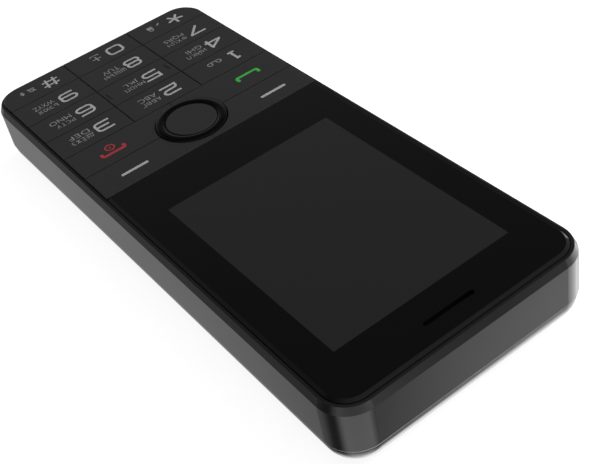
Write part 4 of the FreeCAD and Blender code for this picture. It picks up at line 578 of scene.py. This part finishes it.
def new_outline(parts):
    """The edges at the far end of what was just drawn."""
    ends = set(vertices(parts))
    return [part for part in parts
            if isinstance(part, bmesh.types.BMEdge) and ends.issuperset(part.verts)]


def draw_straight(shape, outline, move):
    """Push the outline of a stroke along a straight line."""
    grown = bmesh.ops.extrude_edge_only(shape, edges=outline)["geom"]
    bmesh.ops.translate(shape, verts=vertices(grown), vec=move.to_3d())
    return new_outline(grown)


def draw_bend(shape, outline, centre, angle):
    """Swing the outline of a stroke round a bend."""
    steps = max(2, round(abs(math.degrees(angle)) / BEND_STEP))
    corners = list(dict.fromkeys(corner for edge in outline for corner in edge.verts))
    swung = bmesh.ops.spin(shape, geom=outline + corners, cent=centre.to_3d(), axis=(0, 0, 1),
                           angle=angle, steps=steps, use_merge=False, use_duplicate=False)
    return new_outline(swung["geom_last"])


def plan_corners(stroke):
    """For each corner of a stroke: its point, how far from it the bend starts, and the turn."""
    points = [Vector(point) for point in stroke.points]
    corners = []
    for index, here in enumerate(points):
        if not stroke.closed and index in (0, len(points) - 1):
            corners.append((here, 0.0, 0.0))
            continue
        before, after = here - points[index - 1], points[(index + 1) % len(points)] - here
        turn = math.atan2(before.x * after.y - before.y * after.x, before.dot(after))
        corners.append((here, min(stroke.bend, before.length / 2, after.length / 2), turn))
    return corners


def draw_stroke(stroke, width):
    """One stroke of a print, as a flat solid."""
    shape = bmesh.new()
    corners = plan_corners(stroke)
    (here, reach, _), (second, _, _) = corners[:2]
    heading = (second - here).normalized()
    spot = here + heading * reach
    first = outline = start_stroke(shape, spot, heading, width)
    for corner, reach, turn in corners[1:] + (corners[:1] if stroke.closed else []):
        heading = (corner - spot).normalized()
        straight = (corner - spot).length - reach
        if straight > SHORTEST_RUN:
            outline = draw_straight(shape, outline, heading * straight)
        if turn:
            radius = reach / math.tan(abs(turn) / 2)
            inward = Vector((-heading.y, heading.x)) * math.copysign(radius, turn)
            outline = draw_bend(shape, outline, corner - heading * reach + inward, turn)
            spot = corner + Matrix.Rotation(turn, 2) @ heading * reach
    if stroke.closed:
        bmesh.ops.remove_doubles(shape, verts=shape.verts, dist=STROKE_WELD)
    else:
        bmesh.ops.edgeloop_fill(shape, edges=first)
        bmesh.ops.edgeloop_fill(shape, edges=outline)
    bmesh.ops.recalc_face_normals(shape, faces=shape.faces)
    return shape


def add_shape(whole, part, rise=0.0):
    """Move one bmesh into another, raised by some height."""
    bmesh.ops.translate(part, verts=part.verts, vec=(0.0, 0.0, rise))
    carrier = bpy.data.meshes.new("carrier")
    part.to_mesh(carrier)
    part.free()
    whole.from_mesh(carrier)
    bpy.data.meshes.remove(carrier)


def draw(strokes, width):
    """A flat raised print made of strokes of one width."""
    shape = bmesh.new()
    for layer, stroke in enumerate(strokes):
        add_shape(shape, draw_stroke(stroke, width), layer * PRINT_STEP)
    return shape


def place_strokes(strokes, left, top, width, height, nib):
    """Put strokes of a unit box into a box measured to the outside of the print."""
    foot = top - height
    return [stroke._replace(points=[(left + nib / 2 + x * (width - nib),
                                     foot + nib / 2 + y * (height - nib))
                                    for x, y in stroke.points]) for stroke in strokes]


# ---------------------------------------------------------------- pieces
def finish_piece(name, shapes, material, body):
    """Join shapes, in millimetres, into one piece that rides on a body."""
    mesh = bpy.data.meshes.new(name)
    whole = bmesh.new()
    for shape in shapes:
        add_shape(whole, shape)
    bmesh.ops.scale(whole, verts=whole.verts, vec=(MM, MM, MM))
    bmesh.ops.remove_doubles(whole, verts=whole.verts, dist=PIECE_WELD)
    bmesh.ops.recalc_face_normals(whole, faces=whole.faces)
    for face in whole.faces:
        face.smooth = False
    whole.to_mesh(mesh)
    whole.free()
    mesh.materials.append(material)
    piece = bpy.data.objects.new(name, mesh)
    bpy.context.scene.collection.objects.link(piece)
    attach(piece, body)


def print_piece(name, shapes, colour, key):
    """Print shapes on a key's top, with their undersides sunk in."""
    for shape in shapes:
        low = min(vertex.co.z for vertex in shape.verts)
        bmesh.ops.translate(shape, verts=shape.verts, vec=(0.0, 0.0, KEY_TOP_Z - PRINT_SINK - low))
    finish_piece(name, shapes, colour, key)


def text_to_solid(words):
    """A line of the built-in font's capitals with the depth of a print."""
    text = bpy.data.curves.new("words", "FONT")
    text.body = words
    text.size = 1.0
    text.offset = LATIN_THINNING
    text.fill_mode = "FRONT"
    text.resolution_u = 4
    carrier = bpy.data.objects.new("carrier", text)
    bpy.context.scene.collection.objects.link(carrier)
    bpy.context.view_layer.update()
    carried = carrier.evaluated_get(bpy.context.evaluated_depsgraph_get())
    mesh = bpy.data.meshes.new_from_object(carried)
    shape = bmesh.new()
    shape.from_mesh(mesh)
    bpy.data.meshes.remove(mesh)
    bpy.data.objects.remove(carrier)
    bmesh.ops.remove_doubles(shape, verts=shape.verts, dist=TEXT_WELD)
    bmesh.ops.dissolve_degenerate(shape, dist=TEXT_WELD, edges=shape.edges)
    grown = bmesh.ops.extrude_face_region(shape, geom=shape.faces[:])["geom"]
    bmesh.ops.translate(shape, verts=vertices(grown), vec=(0.0, 0.0, PRINT_DEPTH))
    return shape


def print_latin(words, left, width, top):
    """The Latin line of a key, from left to left + width."""
    high, low = (top - drop for drop in LATIN_LINE)
    shape = text_to_solid(words)
    xs = [vertex.co.x for vertex in shape.verts]
    ys = [vertex.co.y for vertex in shape.verts]
    across = width / (max(xs) - min(xs))
    up = (high - low) / (max(ys) - min(ys))
    bmesh.ops.translate(shape, verts=shape.verts, vec=(-min(xs), -min(ys), 0.0))
    bmesh.ops.scale(shape, verts=shape.verts, vec=(across, up, 1.0))
    bmesh.ops.translate(shape, verts=shape.verts, vec=(left, low, 0.0))
    return [shape]


def print_cyrillic(words, left, width, top):
    """The Cyrillic line of a key, from left to left + width."""
    high, low = (top - drop for drop in CYRILLIC_LINE)
    letters = [CYRILLIC[letter] for letter in words]
    share = width / (sum(across for across, _ in letters) + CYRILLIC_GAP * (len(letters) - 1))
    shapes = []
    for across, strokes in letters:
        placed = place_strokes(strokes, left, high, across * share, high - low, CYRILLIC_STROKE)
        shapes.append(draw(placed, CYRILLIC_STROKE))
        left += (across + CYRILLIC_GAP) * share
    return shapes


def dab(x, y, width, height, round_edge):
    """A filled printed patch with rounded corners."""
    patch = bmesh.new()
    bmesh.ops.create_cube(patch, size=1.0)
    bmesh.ops.scale(patch, verts=patch.verts, vec=(width, height, PRINT_DEPTH))
    upright = [edge for edge in patch.edges
               if abs(edge.verts[0].co.z - edge.verts[1].co.z) > PRINT_RISE]
    bmesh.ops.bevel(patch, geom=upright, offset=round_edge, segments=4, profile=0.5,
                    affect="EDGES", material=-1)
    bmesh.ops.translate(patch, verts=patch.verts, vec=(x, y, 0.0))
    return patch


def print_ring(x, y, radius, width):
    """A printed ring, turned from the cross-section of its line."""
    ring = bmesh.new()
    start_stroke(ring, Vector((x + radius, y)), Vector((0.0, 1.0)), width)
    bmesh.ops.spin(ring, geom=ring.edges[:] + ring.verts[:], cent=(x, y, 0.0), axis=(0, 0, 1),
                   angle=math.tau, steps=32, use_merge=True, use_duplicate=False)
    return ring


def print_triangle(x, y, radius):
    """A filled printed triangle that points up."""
    triangle = bmesh.new()
    bmesh.ops.create_cone(triangle, cap_ends=True, segments=3, radius1=radius, radius2=radius,
                          depth=PRINT_DEPTH)
    bmesh.ops.translate(triangle, verts=triangle.verts, vec=(x, y, 0.0))
    return triangle


def star_strokes(left, top):
    """The arms of the star, the first one straight up."""
    arms = 5
    x, y = left + DIGIT_WIDTH * STAR_MIDDLE[0], top - DIGIT_HEIGHT * STAR_MIDDLE[1]
    turns = [math.tau * arm / arms + math.pi / 2 for arm in range(arms)]
    return [line(x, y, x + STAR_REACH * math.cos(turn), y + STAR_REACH * math.sin(turn))
            for turn in turns]


def extra_signs(sign, low):
    """Small signs of a key without letters, measured up from the lower edge of its digit:
    a tape; a tick and a padlock; a plus and a space bar; a struck-out bell and a torch."""
    if sign == "1":
        left, right, y, radius, tape_end = -15.85, -13.7, low + 0.88, 0.56, 0.25
        tape = line(left + tape_end, y - radius, right - tape_end, y - radius)
        return [print_ring(left, y, radius, FINE_STROKE), print_ring(right, y, radius, FINE_STROKE),
                draw([tape], FINE_STROKE)]
    if sign == "star":
        tick = line(-15.6, low + 0.15, -14.8, low + 0.85)
        lock_x, lock_width, lock_height, shackle_half = -12.95, 1.4, 1.25, 0.42
        shackle = arch(lock_x - shackle_half, lock_x + shackle_half, low + 1.2, low + 2.1, 0.4)
        return [draw([tick], TICK_STROKE), draw([shackle], FINE_STROKE),
                dab(lock_x, low + 0.7, lock_width, lock_height, 0.2)]
    if sign == "0":
        x, plus_y, plus_half, tray_half = 1.72, low + 1.9, 1.05, 1.0
        plus = [line(x - plus_half, plus_y, x + plus_half, plus_y),
                line(x, low + 0.85, x, low + 3.0)]
        tray = arch(x - tray_half, x + tray_half, low + 0.65, low + 0.15, 0.14)
        return [draw(plus, PLUS_STROKE), draw([tray], FINE_STROKE)]
    bell = Stroke([(17.1, low + 0.4), (17.35, low + 0.8), (17.35, low + 1.7),
                   (18.35, low + 1.7), (18.35, low + 0.8), (18.6, low + 0.4)],
                  closed=True, bend=0.3)
    slash = line(17.0, low + 1.8, 18.7, low + 0.15)
    torch_x, grip_width, grip_height, head_radius = 20.05, 0.55, 0.8, 0.62
    return [draw([bell, slash], FINE_STROKE),
            dab(torch_x, low + 0.55, grip_width, grip_height, 0.1),
            print_triangle(torch_x, low + 1.15, head_radius)]


def print_digit_keys():
    """Digits, letters and small signs of the twelve keys of the lower block."""
    for top, signs in zip(DIGIT_TOP, KEY_GRID):
        for left, sign in zip(DIGIT_LEFT, signs):
            key = f"key_{sign}"
            nib = HASH_STROKE if sign == "hash" else DIGIT_STROKE
            if sign == "star":
                strokes = star_strokes(left, top)
            else:
                strokes = place_strokes(DIGITS[sign], left, top, DIGIT_WIDTH, DIGIT_HEIGHT, nib)
            print_piece(f"{key}_digit", [draw(strokes, nib)], INK_WHITE, key)
            if sign in LETTERS:
                cyrillic, latin = LETTERS[sign]
                small = print_cyrillic(*cyrillic, top) + print_latin(*latin, top)
            else:
                small = extra_signs(sign, top - DIGIT_HEIGHT)
            print_piece(f"{key}_letters", small, INK_LETTER, key)


def print_function_keys():
    """Dashes of the soft keys and the handset signs of the call and end keys."""
    for key, x in DASH_X.items():
        dash = dab(x, DASH_Y, DASH_LENGTH, DASH_WIDTH, DASH_ROUND_EDGE)
        print_piece(f"{key}_dash", [dash], INK_WHITE, key)
    lifted = draw([arch(*HANDSET_LIFTED, HANDSET_BEND)], HANDSET_STROKE)
    print_piece("call_sign", [lifted], INK_GREEN, "call_key")
    laid_down = draw([arch(*HANDSET_LAID_DOWN, HANDSET_BEND)], HANDSET_STROKE)
    power_ring = print_ring(POWER_X, POWER_Y, POWER_RADIUS, POWER_STROKE)
    power_stroke = draw([line(POWER_X, POWER_STROKE_TOP, POWER_X, POWER_STROKE_FOOT)],
                        POWER_STROKE)
    print_piece("end_sign", [laid_down, power_ring, power_stroke], INK_RED, "end_key")


def add_socket_contacts():
    """Contact strips with softened edges, under the charging socket's tongue."""
    width, length, thickness, soft_edge = 0.35, 3.6, 0.06, 0.02
    middle_y, tongue_low_z, pitch, count = -58.9, 6.96, 0.65, 5
    strips = []
    for step in range(count):
        strip = bmesh.new()
        bmesh.ops.create_cube(strip, size=1.0)
        bmesh.ops.scale(strip, verts=strip.verts, vec=(width, length, thickness))
        bmesh.ops.bevel(strip, geom=strip.edges[:], offset=soft_edge, segments=2, profile=0.5,
                        affect="EDGES", material=-1)
        x = (step - (count - 1) / 2) * pitch
        bmesh.ops.translate(strip, verts=strip.verts, vec=(x, middle_y, tongue_low_z))
        strips.append(strip)
    finish_piece("charging_contacts", strips, FINISHES["gold_contact"], "phone_body")


def add_camera_trim():
    """Turned trim ring with a sloped lip, in the camera window's seat."""
    middle_y, inner, outer = 48.0, 3.25, 4.15
    low_z, lip_z, high_z, slope = 0.02, 0.06, 0.3, 0.1
    outline = ((inner, low_z), (outer - slope, low_z), (outer, lip_z), (outer, high_z),
               (inner, high_z))
    ring = bmesh.new()
    corners = [ring.verts.new((x, 0.0, z)) for x, z in outline]
    edges = [ring.edges.new((corners[index - 1], corners[index])) for index in range(len(corners))]
    bmesh.ops.spin(ring, geom=corners + edges, cent=(0, 0, 0), axis=(0, 0, 1), angle=math.tau,
                   steps=64, use_merge=True, use_duplicate=False)
    bmesh.ops.translate(ring, verts=ring.verts, vec=(0.0, middle_y, 0.0))
    finish_piece("camera_trim_ring", [ring], FINISHES["ring_gloss"], "battery_cover")


# ---------------------------------------------------------------- studio
# camera: place in millimetres, turns in degrees, lens in millimetres of a 36 mm frame
CAMERA_SPOT = (74.621, 150.083, 137.092)
CAMERA_TURNS = (49.0335, 9.9373, 143.7866)
CAMERA_LENS, CAMERA_FRAME = 66.2, 36.0
CAMERA_SHIFT = (0.0314, -0.0039)

# soft lamps, aimed at the phone: name, place and side in metres, power in watts
SOFTBOXES = (("overhead_softbox", (0.0, 0.1, 1.0), 0.9, 2.8),
             ("side_softbox", (-0.92, 0.06, 0.42), 0.8, 14.4))

# floor: half its side, its drop below the phone, its own tone, and how white it is seen, which
# grows from near the phone to far out
FLOOR_HALF, FLOOR_DROP, FLOOR_TONE = 3.0, 0.0002, (0.30, 0.30, 0.30, 1.0)
FLOOR_REACH, FLOOR_WHITENESS = (0.2, 0.9), (0.89, 1.0)

# room: how light it is from behind the phone to ahead of it, and what the horizon adds
ROOM_AHEAD, ROOM_LEVELS = (-0.3, 0.8), (0.060, 0.32)
HORIZON_BAND, HORIZON_LEVELS = (0.75, 0.15), (0.0, 0.19)

# pale and dark cards stand round the phone below the horizon and show in its gloss: from one
# bearing to another, in degrees from +X, and how much lighter it gets between them; one more
# card lies underfoot
CARD_TOP = (-0.04, 0.0)
CARD_LEVEL = 2.3
CARD_STEPS = ((-175, -150, -1.78), (-67, -59, -0.20), (-42, -14, -0.23), (-3, 28, 1.33),
              (100, 117, -1.12), (117, 133, 0.72), (133, 158, 1.28))
UNDERFOOT_LEVEL = 2.0
UNDERFOOT_BAND = (-0.99, -0.85)


def seen_directly(tree):
    """1 for rays from the camera, straight or through clear parts."""
    path = tree.nodes.new("ShaderNodeLightPath")
    return calculate(tree, "MAXIMUM", path.outputs["Is Camera Ray"],
                     path.outputs["Is Transmission Ray"])


def make_camera():
    """The camera, on a stand of its own."""
    camera = bpy.data.cameras.new("camera")
    camera.sensor_width, camera.lens = CAMERA_FRAME, CAMERA_LENS
    camera.shift_x, camera.shift_y = CAMERA_SHIFT
    camera.clip_start, camera.clip_end = 0.01, 20.0
    stand = bpy.data.objects.new("camera", camera)
    stand.location = [part * MM for part in CAMERA_SPOT]
    stand.rotation_euler = [math.radians(turn) for turn in CAMERA_TURNS]
    bpy.context.scene.collection.objects.link(stand)
    bpy.context.scene.camera = stand


def make_world():
    """A dim room over the cards, white where the camera sees past the floor."""
    world = bpy.data.worlds.new("studio_world")
    bpy.context.scene.world = world
    world.use_nodes = True
    tree = world.node_tree
    direction = tree.nodes.new("ShaderNodeTexCoord").outputs["Generated"]
    split = tree.nodes.new("ShaderNodeSeparateXYZ")
    tree.links.new(direction, split.inputs[0])
    across, ahead, up = split.outputs
    cards = spread(tree, up, UNDERFOOT_BAND, (CARD_LEVEL + UNDERFOOT_LEVEL, CARD_LEVEL))
    bearing = calculate(tree, "ARCTAN2", ahead, across)
    for start, end, change in CARD_STEPS:
        step = spread(tree, bearing, (math.radians(start), math.radians(end)), (0.0, change))
        cards = calculate(tree, "ADD", cards, step)
    cards = calculate(tree, "MULTIPLY", cards, spread(tree, up, CARD_TOP, (1.0, 0.0)))
    room = calculate(tree, "ADD", spread(tree, ahead, ROOM_AHEAD, ROOM_LEVELS),
                     spread(tree, up, HORIZON_BAND, HORIZON_LEVELS))
    room = calculate(tree, "MULTIPLY", room, spread(tree, up, CARD_TOP))
    around = calculate(tree, "ADD", room, cards)
    background = tree.nodes["Background"]
    background.inputs["Color"].default_value = WHITE
    tree.links.new(calculate(tree, "MAXIMUM", around, seen_directly(tree)),
                   background.inputs["Strength"])


def make_floor():
    """Pale floor that reads white and keeps the phone's shadow; gloss looks past it."""
    grid = bmesh.new()
    bmesh.ops.create_grid(grid, x_segments=4, y_segments=4, size=FLOOR_HALF)
    bmesh.ops.translate(grid, verts=grid.verts, vec=(0.0, 0.0, -FLOOR_DROP))
    mesh = bpy.data.meshes.new("studio_floor")
    grid.to_mesh(mesh)
    grid.free()
    floor = bpy.data.objects.new("studio_floor", mesh)
    bpy.context.scene.collection.objects.link(floor)
    finish = Finish("studio_floor", Base_Color=FLOOR_TONE, Roughness=0.9, Specular_IOR_Level=0.0,
                    Emission_Color=WHITE)
    tree, shader = finish.tree, finish.shader
    far_out = place(tree, "ShaderNodeVectorMath", operation="LENGTH")
    tree.links.new(finish.spot, far_out.inputs[0])
    whiteness = spread(tree, far_out.outputs["Value"], FLOOR_REACH, FLOOR_WHITENESS)
    tree.links.new(calculate(tree, "MULTIPLY", seen_directly(tree), whiteness),
                   shader.inputs["Emission Strength"])
    path = tree.nodes.new("ShaderNodeLightPath")
    solid = calculate(tree, "SUBTRACT", 1.0, path.outputs["Is Glossy Ray"])
    tree.links.new(solid, shader.inputs["Alpha"])
    mesh.materials.append(finish.material)


def add_softbox(name, spot, side, power):
    """A square soft lamp that lights the phone without showing in its gloss."""
    lamp = bpy.data.lights.new(name, "AREA")
    lamp.size = side
    lamp.energy = power
    box = bpy.data.objects.new(name, lamp)
    box.visible_glossy = False
    box.location = spot
    box.rotation_euler = (-box.location).to_track_quat("-Z", "Y").to_euler()
    bpy.context.scene.collection.objects.link(box)


dress_cad_nodes()
print_digit_keys()
print_function_keys()
add_socket_contacts()
add_camera_trim()
make_camera()
make_world()
make_floor()
for softbox in SOFTBOXES:
    add_softbox(*softbox)
bpy.context.scene.view_settings.view_transform = "Standard"
